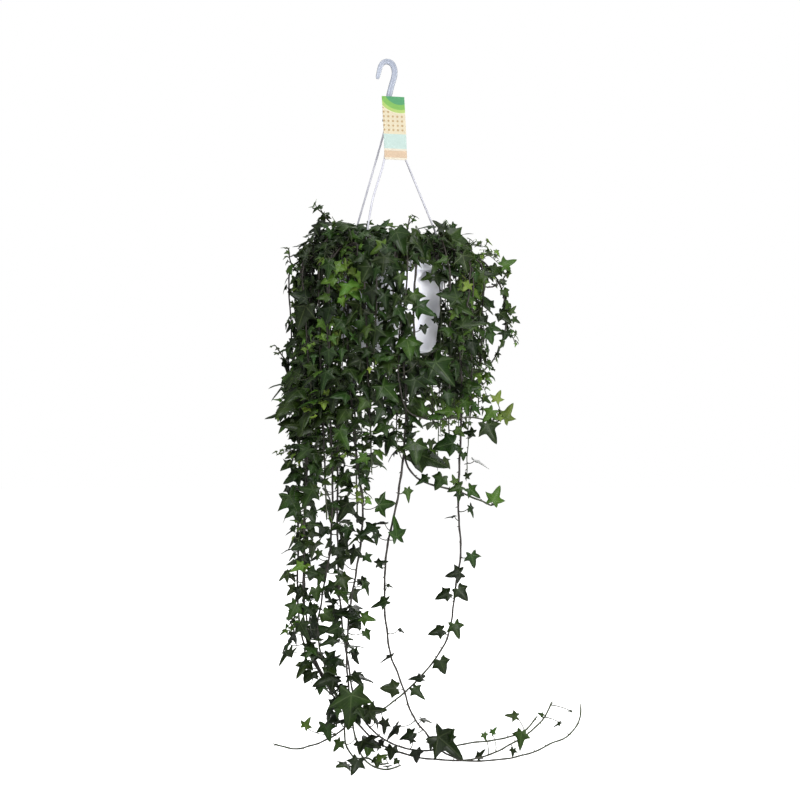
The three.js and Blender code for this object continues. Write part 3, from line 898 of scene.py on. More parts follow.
@dataclass
class Hanger:
    """The hook with its hub, and the three strands that clip into the hub and the pot's rim."""

    hub_x: float = 3.5
    hub_z: float = -88.0
    hub_radius: float = 9.5
    hub_thickness: float = 3.5
    hub_circle: float = 5.8
    shank_radius: float = 2.4
    ledge_x: float = 4.2
    ledge_z: float = -52.0
    ledge_radius: float = 8.2
    clip_circle: float = 95.0
    strand_radius: float = 1.5
    bead_radius: float = 2.5
    gap: float = 0.3
    front_bow: tuple[tuple[float, float, float], ...] = ((-1.5, -22.5, -146.0), (-21.0, -57.0, -222.0))
    tubes: TubeMaker = field(default_factory=TubeMaker)
    # The last colour of each finish is a painted shade where the surface turns edge-on to the eye.
    hook_finish: PlasticFinish = PlasticFinish(
        "clear_moulded_plastic", "999fac", "8b919f", 0.3, 0.0, 0.12, "2b2f37"
    )
    strand_finish: PlasticFinish = PlasticFinish(
        "white_strand_plastic", "b9b9c1", "b0b0ba", 0.6, 0.0, 0.0, "9696a1"
    )

    @staticmethod
    def _ribbed(u: float, v: float) -> tuple[float, float]:
        """Gives the hook's section: a flat bar with round edges and a shallow channel on both faces."""
        wide = math.copysign(abs(u) ** 0.82, u)
        thick = math.copysign(abs(v) ** 0.7, v) * 0.56
        return wide, thick * (0.72 if abs(wide) < 0.5 else 1.0)

    def build_hook(self) -> bpy.types.Object:
        """Builds the hook, its ledge for the tag, the round shank and the hub as one moulding.

        Returns:
            The piece.
        """
        points = (
            (self.ledge_x, -54), (5.4, -46), (9, -32), (12.4, -20), (13.4, -11), (10.6, -1), (6.5, 3),
            (1, 4.5), (-4.5, 2.6), (-8.3, -2.5), (-11, -12), (-13.4, -22.5),
        )
        line = Route([Vector((x, 0, z)) for x, z in points], 1.6).stations
        last = len(line) - 1
        radii = [4.5 - 1.4 * max(0.0, i / last - 0.62) / 0.38 for i in range(last + 1)]
        radii[-3:] = [radii[-3] * share for share in (0.97, 0.82, 0.5)]
        bm = bmesh.new()
        self.tubes.lay(bm, line, radii, 28, section=self._ribbed)
        hook = to_object(bm, "hook_with_hub", [self.hook_finish.make()])
        top = self.hub_z + self.hub_thickness
        hub = rounded(
            [(0, self.hub_z, 0), (self.hub_radius, self.hub_z, 0.9), (self.hub_radius - 0.8, top, 0.9), (0, top, 0)]
        )
        ledge = rounded(
            [
                (0, self.ledge_z - 6, 0), (3, self.ledge_z - 6, 0.3), (self.ledge_radius, self.ledge_z, 0.6),
                (0, self.ledge_z, 0),
            ]
        )
        parts = []
        for profile, x in ((hub, self.hub_x), (ledge, self.ledge_x)):
            bm = spun(profile, 48)
            bmesh.ops.translate(bm, verts=bm.verts[:], vec=(x * MM, 0.0, 0.0))
            parts.append(to_object(bm, "boss", []))
        shank = bmesh.new()
        foot, head = Vector((self.hub_x, 0, self.hub_z + 1)), Vector((self.ledge_x, 0, self.ledge_z - 1))
        self.tubes.lay(shank, [foot, foot.lerp(head, 0.5), head], [self.shank_radius] * 3, 20)
        combine(hook, [*parts, to_object(shank, "shank", [])], "UNION")
        holes = [cylinder(self._in_hub(a, self.hub_z - 2), 1.85, 8.0) for a in STRAND_AZIMUTHS.values()]
        combine(hook, holes, "DIFFERENCE")
        smooth_by_angle(hook, 40.0)
        return place(hook, ["hanger_hook"], "clear_plastic")

    def _in_hub(self, azimuth: float, height: float) -> Vector:
        """Gives the middle of a strand's hole in the hub, at a height."""
        return polar(azimuth, self.hub_circle, height) + Vector((self.hub_x, 0.0, 0.0))

    def build_strand(self, name: str, azimuth: float, finish: bpy.types.Material) -> bpy.types.Object:
        """Builds one strand with a bead behind each hole and a collar above the rim.

        Args:
            name: Where the strand is, as its CAD node says.
            azimuth: Its azimuth in degrees.
            finish: The strands' material.

        Returns:
            The piece.
        """
        top = self.hub_z + self.hub_thickness + self.gap
        low = RIM_Z - 2.0 - self.gap
        rod, bead = self.strand_radius, self.bead_radius
        head = [(top + 3.6, 0.5 * bead), (top + 3.2, 0.8 * bead), (top + 1.6, bead), (top + 0.2, bead), (top, rod)]
        marks = [(self._in_hub(azimuth, z), radius) for z, radius in head]
        bow = [Vector(p) for p in self.front_bow] if name == "front" else []
        bent = Route(
            [
                self._in_hub(azimuth, self.hub_z - 0.5), self._in_hub(azimuth, self.hub_z - 4.0), *bow,
                polar(azimuth, self.clip_circle, RIM_Z + 8.5), polar(azimuth, self.clip_circle, RIM_Z + 5.0),
            ],
            7.0,
        )
        marks += [(point, rod) for point in bent.stations]
        foot = [
            (RIM_Z + 4.5, 1.6 * rod), (RIM_Z + 1.6, 1.6 * rod), (RIM_Z + 0.6, rod), (low, rod), (low - 0.2, bead),
            (low - 2.2, bead), (low - 3.6, 0.5 * bead),
        ]
        marks += [(polar(azimuth, self.clip_circle, z), radius) for z, radius in foot]
        bm = bmesh.new()
        self.tubes.lay(bm, [point for point, _ in marks], [radius for _, radius in marks], 14)
        strand = to_object(bm, f"strand_{name}", [finish])
        smooth_by_angle(strand, 50.0)
        return place(strand, [f"hanger_strand_{name}"], "strand_plastic")

    def build(self) -> list[bpy.types.Object]:
        """Builds the hook and the strands.

        Returns:
            The pieces.
        """
        finish = self.strand_finish.make()
        strands = [self.build_strand(name, azimuth, finish) for name, azimuth in STRAND_AZIMUTHS.items()]
        return [self.build_hook(), *strands]


@dataclass
class HangTag:
    """The printed card that hangs on the shank by its folded tab."""

    width: float = 36.0
    height: float = 101.0
    thickness: float = 0.8
    tab: float = 19.0
    reach: float = 9.0
    side: float = 4.5
    yaw: float = 16.0
    lean: float = 9.0
    shank_x: float = 4.2
    top: float = -50.9
    hole: float = 6.4
    finish: TagFinish = TagFinish()

    def build(self) -> bpy.types.Object:
        """Builds the card, folds it and prints it.

        Returns:
            The piece.
        """
        bm = bmesh.new()
        bmesh.ops.create_grid(bm, x_segments=1, y_segments=1, size=0.5)
        for vert in bm.verts:
            vert.co = Vector((vert.co.x * self.width, 0.0, (vert.co.y - 0.5) * self.height))
        low = [v for v in bm.verts if v.co.z < -1]
        bmesh.ops.bevel(bm, geom=low, offset=2.5, segments=4, affect="VERTICES", profile=0.5, material=-1)
        for height in range(-95, 0, 5):
            bmesh.ops.bisect_plane(
                bm, geom=bm.verts[:] + bm.edges[:] + bm.faces[:], plane_co=(0, 0, height), plane_no=(0, 0, 1)
            )
        top_edge = [e for e in bm.edges if all(v.co.z > -0.01 for v in e.verts)]
        lean = math.radians(self.lean)
        bmesh.ops.rotate(bm, verts=bm.verts[:], matrix=Matrix.Rotation(-lean, 3, "X"))
        for vert in bm.verts:
            vert.co.y -= 1.2 * math.sin(math.pi * -vert.co.z / self.height)
        edges = top_edge
        for reach, narrower in ((1.0, 1.0), (self.tab - 1.4, 0.72)):
            grown = bmesh.ops.extrude_edge_only(bm, edges=edges)["geom"]
            edges = [e for e in grown if isinstance(e, bmesh.types.BMEdge)]
            moved = [v for v in grown if isinstance(v, bmesh.types.BMVert)]
            bmesh.ops.translate(bm, verts=moved, vec=(0.0, reach, 0.0))
            bmesh.ops.scale(bm, verts=moved, vec=(narrower, 1.0, 1.0))
        bmesh.ops.recalc_face_normals(bm, faces=bm.faces[:])
        bmesh.ops.solidify(bm, geom=bm.faces[:], thickness=self.thickness)
        uv = bm.loops.layers.uv.new("Print")
        for face in bm.faces:
            for loop in face.loops:
                down = -loop.vert.co.z / self.height / math.cos(lean)
                loop[uv].uv = (loop.vert.co.x / self.height + 0.2, 1.0 - down)
        matrix = (
            Matrix.Translation((self.shank_x * MM, 0.0, self.top * MM))
            @ Matrix.Rotation(math.radians(self.yaw), 4, "Z")
            @ Matrix.Scale(MM, 4)
            @ Matrix.Translation((self.side, -self.reach, 0.0))
        )
        bmesh.ops.transform(bm, matrix=matrix, verts=bm.verts[:])
        tag = to_object(bm, "printed_hang_tag", [self.finish.make()])
        combine(tag, [cylinder(Vector((self.shank_x, 0.0, self.top - 4)), self.hole, 8.0, 32)], "DIFFERENCE")
        smooth_by_angle(tag, 50.0)
        return place(tag, ["hang_tag"], "printed_card")


# The ivy


class LeafShape(Enum):
    """Half outlines of a blade of length 1, from the notch at the stalk round the lobes to the tip."""

    STAR = (
        (0.0, -0.06), (0.1, -0.17), (0.22, -0.27), (0.37, -0.31), (0.37, -0.16), (0.34, -0.03), (0.5, 0.1),
        (0.7, 0.33), (0.5, 0.33), (0.33, 0.36), (0.25, 0.42), (0.22, 0.56), (0.16, 0.77), (0.07, 0.93), (0.0, 1.0),
    )
    BROAD = (
        (0.0, -0.04), (0.12, -0.18), (0.28, -0.27), (0.4, -0.24), (0.41, -0.08), (0.52, 0.08), (0.68, 0.29),
        (0.5, 0.33), (0.37, 0.38), (0.32, 0.48), (0.26, 0.66), (0.14, 0.85), (0.0, 1.0),
    )
    SLIM = (
        (0.0, -0.04), (0.08, -0.14), (0.2, -0.21), (0.25, -0.09), (0.24, 0.0), (0.36, 0.08), (0.53, 0.21),
        (0.38, 0.27), (0.27, 0.33), (0.2, 0.42), (0.17, 0.56), (0.11, 0.76), (0.04, 0.93), (0.0, 1.0),
    )


class Blade:
    """One leaf shape as a thin closed plate of length 1, kept as a pattern to bend for each leaf."""

    cuts = (((0.0, 0.0), 65.0), ((0.0, 0.0), 129.0), ((0.0, 0.36), 90.0), ((0.0, 0.66), 90.0))

    def __init__(self, shape: LeafShape) -> None:
        """Builds the pattern: a half outline, cut along the veins, mirrored and given its thickness."""
        bm = bmesh.new()
        bm.faces.new([bm.verts.new((x, y, 0.0)) for x, y in shape.value])
        for (x, y), angle in self.cuts:
            turn = math.radians(angle)
            bmesh.ops.bisect_plane(
                bm,
                geom=bm.verts[:] + bm.edges[:] + bm.faces[:],
                dist=1e-5,
                plane_co=(x, y, 0.0),
                plane_no=(math.cos(turn), -math.sin(turn), 0.0),
            )
        bmesh.ops.mirror(bm, geom=bm.verts[:] + bm.edges[:] + bm.faces[:], merge_dist=1e-4, axis="X")
        bmesh.ops.recalc_face_normals(bm, faces=bm.faces[:])
        if sum(f.normal.z for f in bm.faces) < 0:
            bmesh.ops.reverse_faces(bm, faces=bm.faces[:])
        bm.verts.index_update()
        self.flat = [v.co.copy() for v in bm.verts]
        self.faces = [[v.index for v in f.verts] for f in bm.faces]
        bmesh.ops.solidify(bm, geom=bm.faces[:], thickness=1.0)
        uv = bm.loops.layers.uv.new("Blade")
        for face in bm.faces:
            face.smooth = abs(face.normal.z) > 0.5
            face.material_index = 1 if face.normal.z > -0.5 else 2
            for loop in face.loops:
                loop[uv].uv = loop.vert.co.xy
        high = max(v.co.z for v in bm.verts)
        bmesh.ops.translate(bm, verts=bm.verts[:], vec=(0.0, 0.0, -high))
        self.mesh = bpy.data.meshes.new(f"blade_{shape.name.lower()}")
        bm.to_mesh(self.mesh)
        bm.free()


@dataclass(frozen=True)
class Bend:
    """How one blade is bent: a fold along the midrib, drooping lobes, a wavy edge and a drawn-out tip."""

    fold: float
    droop: float
    wave: float
    phase: float
    drawn: float

    def moved(self, flat: Vector) -> Vector:
        """Gives the place of a point of the flat blade once it is bent, in blade lengths."""
        side, tip = abs(flat.x), max(0.0, flat.y)
        bowed = self.droop * (1.3 * side * side + 0.55 * tip * tip)
        ripple = self.wave * side * math.sin(9.0 * flat.y + 6.0 * side + self.phase)
        longer = 1.0 + self.drawn * max(0.0, flat.y - 0.3)
        return Vector((flat.x, flat.y * longer, self.fold * side - bowed + ripple))


@dataclass(frozen=True)
class Habit:
    """How a vine bears its leaves, in millimetres.

    Under `chosen_below` each leaf has a chosen place. `airy` is the share of nodes left bare at its side.
    """

    crown_spacing: float = 9.5
    trail_spacing: float = 17.5
    end_spacing: float = 25.0
    crown_leaf: float = 26.0
    leaf: float = 21.0
    tip_leaf: float = 9.0
    young: float = 0.0
    twigs: float = 0.05
    side_stems: int = 1
    chosen_below: float = -2000.0
    airy: float = 0.0


@dataclass
class Vine:
    """One plant while it grows: its mesh, its stems with where their leaves start, and its chance."""

    name: str
    habit: Habit
    rng: Random
    bm: bmesh.types.BMesh
    stems: list[tuple[Route, float]]


class Thicket:
    """Remembers what is already in place, so that no leaf grows through it."""

    def __init__(self, cell: float = 45.0) -> None:
        """Starts empty, with cells of the width given in millimetres."""
        self._cell = cell
        self._cells: dict[tuple[int, int, int], list[BVHTree]] = defaultdict(list)

    def _near(self, points: Sequence[Vector]) -> list[tuple[int, int, int]]:
        """Gives the cells that the points' box touches."""
        low = [math.floor(min(p[i] for p in points) / self._cell) for i in range(3)]
        high = [math.floor(max(p[i] for p in points) / self._cell) for i in range(3)]
        spans = [range(a, b + 1) for a, b in zip(low, high)]
        return [(i, j, k) for i in spans[0] for j in spans[1] for k in spans[2]]

    def is_clear(self, points: Sequence[Vector], faces: Sequence[Sequence[int]]) -> bool:
        """Tells whether a mesh in millimetres cuts nothing that is in place."""
        tree = BVHTree.FromPolygons(points, faces)
        tested: set[int] = set()
        for cell in self._near(points):
            for other in self._cells.get(cell, ()):
                if id(other) in tested:
                    continue
                tested.add(id(other))
                if tree.overlap(other):
                    return False
        return True

    def add(self, points: Sequence[Vector], faces: Sequence[Sequence[int]]) -> None:
        """Puts a mesh in millimetres in place."""
        tree = BVHTree.FromPolygons(points, faces)
        for cell in self._near(points):
            self._cells[cell].append(tree)

    @staticmethod
    def _crosses(line: Sequence[Vector], radius: float) -> Iterator[tuple[list[Vector], list[tuple[int, ...]]]]:
        """Gives the short flat crosses that stand for a thin line."""
        for a, b in zip(line, line[1:]):
            side = (b - a).orthogonal().normalized() * radius
            other = side.cross((b - a).normalized())
            corners = [a + side, a - side, b - side, b + side, a + other, a - other, b - other, b + other]
            yield corners, [(0, 1, 2, 3), (4, 5, 6, 7)]

    def line_is_clear(self, line: Sequence[Vector], radius: float) -> bool:
        """Tells whether a thin line cuts nothing that is in place."""
        return all(self.is_clear(corners, faces) for corners, faces in self._crosses(line, radius))

    def add_line(self, line: Sequence[Vector], radius: float) -> None:
        """Puts a thin line in place."""
        for corners, faces in self._crosses(line, radius):
            self.add(corners, faces)

    def add_object(self, obj: bpy.types.Object) -> None:
        """Puts a finished piece in place, face by face in coarse blocks."""
        blocks: dict[tuple[int, int, int], list[Sequence[int]]] = defaultdict(list)
        points = [v.co / MM for v in obj.data.vertices]
        for face in obj.data.polygons:
            middle = face.center / MM
            blocks[tuple(math.floor(c / self._cell) for c in middle)].append(tuple(face.vertices))
        for faces in blocks.values():
            used = sorted({i for face in faces for i in face})
            back = {old: new for new, old in enumerate(used)}
            self.add([points[i] for i in used], [[back[i] for i in face] for face in faces])


@dataclass
class Ivy:
    """All the vines: their routes, how they grow and their finishes."""

    thicket: Thicket
    tubes: TubeMaker = field(default_factory=TubeMaker)
    thickness: float = 0.35
    leaf_top: LeafFinish = LeafFinish(
        "ivy_leaf_upper_side",
        ((0.0, "0c1906"), (0.18, "162a09"), (0.4, "27430f"), (0.6, "3b5a18"), (0.82, "5c742a"), (1.0, "788a42")),
        "8a9f68", 0.2, 0.4, 0.26, 0.35,
    )
    leaf_under: LeafFinish = LeafFinish(
        "ivy_leaf_underside",
        ((0.0, "182510"), (0.3, "293c18"), (0.6, "445c25"), (1.0, "74883f")),
        "8c9d6c", 0.3, 0.55, 0.2, 0.5,
    )
    bark: StemFinish = StemFinish()

    def __post_init__(self) -> None:
        """Makes the leaf patterns and the materials that all vines share."""
        self.blades = [Blade(shape) for shape in LeafShape]
        self.materials = [self.bark.make(), self.leaf_top.make(), self.leaf_under.make()]
        self.vines: list[Vine] = []
        self.leaves = 0
        self.skipped = 0

    def _stem(self, vine: Vine, route: Route, radius: float, sides: int, woody: float) -> list[Vector]:
        """Lays a stem that wanders a little and swells at its nodes.

        Args:
            vine: The plant that it belongs to.
            route: The stem's route.
            radius: Its radius at the foot in millimetres.
            sides: How many sides it has.
            woody: The share of the length that has bark.

        Returns:
            The stem's middle line.
        """
        line: list[Vector] = []
        radii: list[float] = []
        last = len(route.stations) - 1
        seed = vine.rng.uniform(0, 100)
        for i, point in enumerate(route.stations):
            settled = min(1.0, i / 5, (last - i) / 2)
            line.append(point + noise.noise_vector(Vector((seed, 0.33 * i, 0.0))) * 1.5 * settled)
            swell = 1.16 if i % 3 == 0 else 1.0
            radii.append(radius * (1.0 - 0.3 * i / last) * swell * (0.45 if i == last else 1.0))
        self.tubes.lay(
            vine.bm, line, radii, sides, lambda share: (max(0.0, min(1.0, (share - woody) * 4.0)), 1.0, 0.0, 1.0)
        )
        return line

    def _leaf_frame(
        self, point: Vector, ahead: Vector, side: int, rng: Random, spread: float
    ) -> tuple[Vector, Matrix]:
        """Works out where a leaf is held and how it is turned.

        Args:
            point: Where its stalk leaves the stem.
            ahead: The stem's direction there.
            side: Which side of the stem it is on, 1 or -1.
            rng: The vine's own source of chance.
            spread: How far its stalk reaches.

        Returns:
            The foot of the blade, and the turn of the blade whose X is across it, Y to its tip and Z its face.
        """
        radial = Vector((point.x, point.y, 0.0)).normalized()
        level = 1.0 - abs(ahead.z)
        turned = max(0.0, min(1.0, (-370.0 - point.z) / 180.0))
        front = Vector((rng.uniform(-0.7, 0.7), -1.0 if point.y < 25.0 else 1.0, 0.0))
        outward = (radial * (1.0 - 0.7 * turned) + front * turned).normalized()
        across = ahead.cross(outward)
        across = across.normalized() * side if across.length > 0.1 else outward.orthogonal().normalized()
        high = max(0.0, min(1.0, (point.z + 330.0) / 60.0))
        lift = 0.25 + 0.5 * level + 0.5 * high + rng.uniform(-0.3, 0.7)
        reach = (outward * rng.uniform(0.2, 0.9) + across * rng.uniform(0.4, 1.1) + UP * lift).normalized()
        foot = point + reach * spread
        chance = Vector((rng.gauss(0, 1), rng.gauss(0, 1), rng.gauss(0, 1))) * 0.36
        face = (
            outward * rng.uniform(0.3, 1.0)
            + across * rng.uniform(-0.2, 0.7)
            + UP * (rng.uniform(0.0, 1.05 + 0.65 * turned) + 0.5 * high + 0.3 * level)
            + chance
        ).normalized()
        tip = UP * -rng.uniform(0.0, 1.2) * (1.0 - 0.5 * level) + across * rng.uniform(-0.3, 1.1)
        tip += outward * rng.uniform(0.0, 0.8) + Vector((rng.uniform(-0.4, 0.4), 0.0, 0.0))
        tip = (tip - face * tip.dot(face)).normalized()
        turn = Matrix((tip.cross(face), tip, face)).transposed()
        return foot, turn

    def _bent(self, flat: Iterable[Vector], foot: Vector, turn: Matrix, size: float, bend: Bend) -> list[Vector]:
        """Gives the points of a blade's pattern when it is bent, sized and put in its place."""
        out = []
        for p in flat:
            spot = bend.moved(p) * size
            spot.z += p.z * self.thickness
            out.append(foot + turn @ spot)
        return out

    def _stalk(self, bm: bmesh.types.BMesh, point: Vector, foot: Vector, ahead: Vector, young: float) -> None:
        """Lays a leaf stalk that leaves the stem forwards and curves to the blade."""
        reach = (foot - point).length
        middle = point.lerp(foot, 0.5) + ahead * 0.2 * reach - UP * 0.12 * reach
        line = [
            point * (1 - t) ** 2 + middle * 2 * t * (1 - t) + foot * t**2 for t in (0.0, 0.25, 0.5, 0.75, 1.0)
        ]
        self.tubes.lay(bm, line, [1.05, 0.8, 0.7, 0.68, 0.62], 5, lambda share: (0.3 + 0.6 * young, 1.0, 0.0, 1.0))

    def _put(
        self, vine: Vine, blade: Blade, held: tuple[Vector, Vector], seat: tuple[Vector, Matrix], length: float,
        bend: Bend, tone: float,
    ) -> bool:
        """Puts one leaf with its stalk in place if it cuts nothing.

        Args:
            vine: The plant that it belongs to.
            blade: Its shape.
            held: Where its stalk leaves the stem, and the stem's direction there.
            seat: The foot of the blade and its turn.
            length: The length of the blade in millimetres.
            bend: How it is bent.
            tone: How young its colour is, from 0 to 1.

        Returns:
            Whether it is in place.
        """
        foot, turn = seat
        points = self._bent(blade.flat, foot, turn, length, bend)
        if min(p.z for p in points) < GROUND_Z + 0.5 or self._is_out(points):
            return False
        if not self.thicket.is_clear(points, blade.faces):
            return False
        self.thicket.add(points, blade.faces)
        first = len(vine.bm.verts)
        vine.bm.from_mesh(blade.mesh)
        vine.bm.verts.ensure_lookup_table()
        layer = vine.bm.verts.layers.float_color["growth"]
        new = vine.bm.verts[first:]
        # A painted shade darkens the leaves that hang close to the pot below its rim; the value also varies at
        # random from leaf to leaf.
        depth = math.hypot(foot.x, foot.y)
        unshaded_share = max(0.0, min(1.0, (depth - 95.0) / 50.0)) if foot.z < RIM_Z + 5.0 else 1.0
        mark = (tone, vine.rng.uniform(0.62, 1.36) * (0.6 + 0.4 * unshaded_share), vine.rng.random(), 1.0)
        for vert, spot in zip(new, self._bent([v.co for v in new], foot, turn, length, bend)):
            vert.co = spot * MM
            vert[layer] = mark
        self._stalk(vine.bm, held[0], foot, held[1], tone)
        self.leaves += 1
        return True

    def _leaf(self, vine: Vine, point: Vector, ahead: Vector, side: int, size: float, young: float) -> bool:
        """Grows one leaf if it finds room.

        Args:
            vine: The plant that it belongs to.
            point: Where its stalk leaves the stem.
            ahead: The stem's direction there.
            side: Which side of the stem it is on, 1 or -1.
            size: The length of its blade in millimetres.
            young: How young it is, from 0 to 1.

        Returns:
            Whether it grew.
        """
        rng = vine.rng
        blade = self.blades[rng.choices((0, 1, 2), (0.5, 0.34, 0.16))[0]]
        for attempt in range(10):
            length = size * (1.0 - 0.05 * attempt)
            foot, turn = self._leaf_frame(point, ahead, side, rng, length * rng.uniform(0.5, 1.3))
            bend = Bend(
                rng.uniform(-0.05, 0.4), rng.uniform(0.1, 0.7), rng.uniform(0.02, 0.18), rng.uniform(0.0, 6.28),
                rng.uniform(-0.1, 0.4),
            )
            middle = foot + turn @ Vector((0.0, 0.4 * length, 0.0))
            if (self._in_gap(middle) and rng.random() < 0.98) or self._past_dome(middle, point, vine.habit):
                continue
            spread = [
                share for x, z, wide, share in FRESH if point.y < 0 and math.hypot(foot.x - x, foot.z - z) < wide
            ]
            tone = max(0.0, min(1.0, max([young, *spread]) + rng.uniform(-0.1, 0.14)))
            if self._put(vine, blade, (point, ahead), (foot, turn), length, bend, tone):
                return True
        self.skipped += 1
        return False

    @staticmethod
    def _is_out(points: Sequence[Vector]) -> bool:
        """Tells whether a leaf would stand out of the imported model's box by more than 6 mm."""
        low, high = (Vector(corner) / MM for corner in CAD_BOX)
        return any(p[i] < low[i] - 6 or p[i] > high[i] + 6 for p in points for i in range(3))

    @staticmethod
    def _in_gap(middle: Vector) -> bool:
        """Tells whether a leaf would lie in the gap at the right front, where the pot shows."""
        left = 30.0 if middle.z > -345.0 else 36.0
        return middle.y < -30.0 and left < middle.x < 92.0 and -444.0 < middle.z < -326.0

    @staticmethod
    def _past_dome(middle: Vector, point: Vector, habit: Habit) -> bool:
        """Tells whether a leaf would stand out of the crown's low dome, which only the short shoots may do."""
        if habit is TIP or middle.z < -480.0:
            return False
        under = DOME_TOP - middle.z
        wider = 14.0 if middle.x < -50.0 else 36.0
        limit = 102.0 + 28.0 * min(1.0, under / 30.0) + wider * max(0.0, min(1.0, (under - 60.0) / 80.0))
        return under < 0.0 or middle.xy.length > max(limit, point.xy.length + 6.0)

    def sprout(self, name: str, points: list[Vector], habit: Habit) -> None:
        """Lays the main stem of one vine.

        Args:
            name: Its CAD node.
            points: The main stem's route in millimetres.
            habit: How it grows.
        """
        bm = bmesh.new()
        bm.verts.layers.float_color.new("growth")
        bm.loops.layers.uv.new("Blade")
        route = Route(points, 7.0)
        vine = Vine(name, habit, Random(name), bm, [(route, 46.0)])
        radius = 1.85 if route.length > 500 else 1.45
        line = self._stem(vine, route, radius, 7, 0.8)
        self.thicket.add_line(line[5:], radius)
        self.vines.append(vine)

    def branch(self) -> None:
        """Grows side stems from every vine, which leave it over the pot and hang beside it."""
        for vine in self.vines:
            main = vine.stems[0][0]
            for _ in range(vine.habit.side_stems * 5):
                if len(vine.stems) > vine.habit.side_stems:
                    break
                start, _ = main.at(vine.rng.uniform(34.0, min(100.0, 0.6 * main.length)))
                inner = len(vine.stems) == vine.habit.side_stems and vine.habit.side_stems > 1
                route = Route((self._to_middle if inner else self._over_rim)(start, vine.rng), 7.0)
                if self.thicket.line_is_clear(route.stations[2:], 1.3):
                    line = self._stem(vine, route, 1.05, 5, 0.5)
                    self.thicket.add_line(line[2:], 1.0)
                    vine.stems.append((route, 9.0))

    @staticmethod
    def _over_rim(start: Vector, rng: Random) -> list[Vector]:
        """Gives the route of a side stem that arches over the rim and hangs."""
        azimuth = math.degrees(math.atan2(start.y, start.x)) + rng.choice((-1, 1)) * rng.uniform(5.0, 22.0)
        reach = rng.uniform(110.0, 148.0)
        drop = 20.0 + 300.0 * rng.random() ** 0.8
        # Only short ones grow where the pot shows.
        if 277.0 < azimuth % 360.0 < 313.0:
            reach, drop = 110.0, 0.0
        middle = (start.xy.length + reach) / 2
        sideways = polar(azimuth + 90.0, rng.uniform(-14.0, 14.0), 0.0)
        return [
            start,
            polar(azimuth, middle, max(start.z + 4.0, RIM_Z + rng.uniform(8.0, 26.0))),
            polar(azimuth, reach - 5.0, RIM_Z - 3.0),
            polar(azimuth, reach - 5.0, RIM_Z - 14.0 - 0.5 * drop) + sideways * 0.5,
            polar(azimuth, reach - 12.0, RIM_Z - 18.0 - drop) + sideways,
        ]

    @staticmethod
    def _to_middle(start: Vector, rng: Random) -> list[Vector]:
        """Gives the route of a side stem that turns back over the potting mix."""
        azimuth = math.degrees(math.atan2(start.y, start.x))
        end = azimuth + rng.uniform(-60.0, 60.0)
        return [
            start,
            polar(azimuth + 14.0, 0.7 * start.xy.length, max(start.z + 6.0, RIM_Z + rng.uniform(6.0, 20.0))),
            polar(end, rng.uniform(16.0, 44.0), RIM_Z + rng.uniform(14.0, 32.0)),
        ]

    def settle(self, spots: Sequence[tuple[float, ...]]) -> None:
        """Grows the leaves whose places were chosen, each from the stem that passes nearest.

        Args:
            spots: For each leaf the middle's X and Z, the blade's length, the direction of its tip in the
                front view and its tilt in degrees, and how young it is.
        """
        stations = [
            (a, (b - a).normalized(), vine)
            for vine in self.vines
            for route, start in vine.stems
            for a, b in zip(route.stations[6 if start > 20 else 2 :], route.stations[7 if start > 20 else 3 :])
            if a.y < 30.0
        ]
        missed = 0
        for x, z, length, toward, tilt, young in spots:
            tip = polar(0.0, math.cos(math.radians(toward)), math.sin(math.radians(toward)))
            foot = Vector((x, 0.0, z)) - tip * 0.36 * length
            point, ahead, vine = min(
                stations, key=lambda s: math.hypot(s[0].x - foot.x, s[0].z + 7.0 - foot.z) + 0.1 * s[0].y
            )
            rng = vine.rng
            back = Vector((0.0, -1.0, 0.0))
            over = tip.cross(back)
            over = over if over.z >= 0 else -over
            for depth in (8.0, 14.0, 4.0, 20.0, 27.0, 34.0, 0.0, 42.0):
                lean = math.radians(tilt + rng.uniform(-6.0, 6.0))
                pitch = rng.uniform(-0.25, 0.2)
                face = back * math.cos(lean) + over * math.sin(lean)
                axis = (tip * math.cos(pitch) + face * math.sin(pitch)).normalized()
                face = (face - axis * face.dot(axis)).normalized()
                turn = Matrix((axis.cross(face), axis, face)).transposed()
                bend = Bend(rng.uniform(0.0, 0.3), rng.uniform(0.05, 0.35), 0.08, rng.uniform(0.0, 6.28), 0.15)
                blade = self.blades[rng.choices((0, 1, 2), (0.56, 0.34, 0.1))[0]]
                seat = (Vector((foot.x, point.y - depth, foot.z)), turn)
                if self._put(vine, blade, (point, ahead), seat, length * rng.uniform(0.95, 1.05), bend, 0.9 * young):
                    break
            else:
                missed += 1
        LOG.info("%d of %d chosen leaves found no room", missed, len(spots))

    def leaf_out(self) -> list[bpy.types.Object]:
        """Bears the other leaves of all the vines and finishes them.

        Returns:
            The pieces.
        """
        pieces = []
        for vine in self.vines:
            for route, start in vine.stems:
                self._leaf_along(vine, route, vine.habit, start, vine.habit.young)
        for vine in self.vines:
            plant = to_object(vine.bm, f"{vine.name}_plant", self.materials)
            pieces.append(place(plant, [vine.name], "ivy_plant"))
        LOG.info("%d leaves grown, %d found no room", self.leaves, self.skipped)
        return pieces

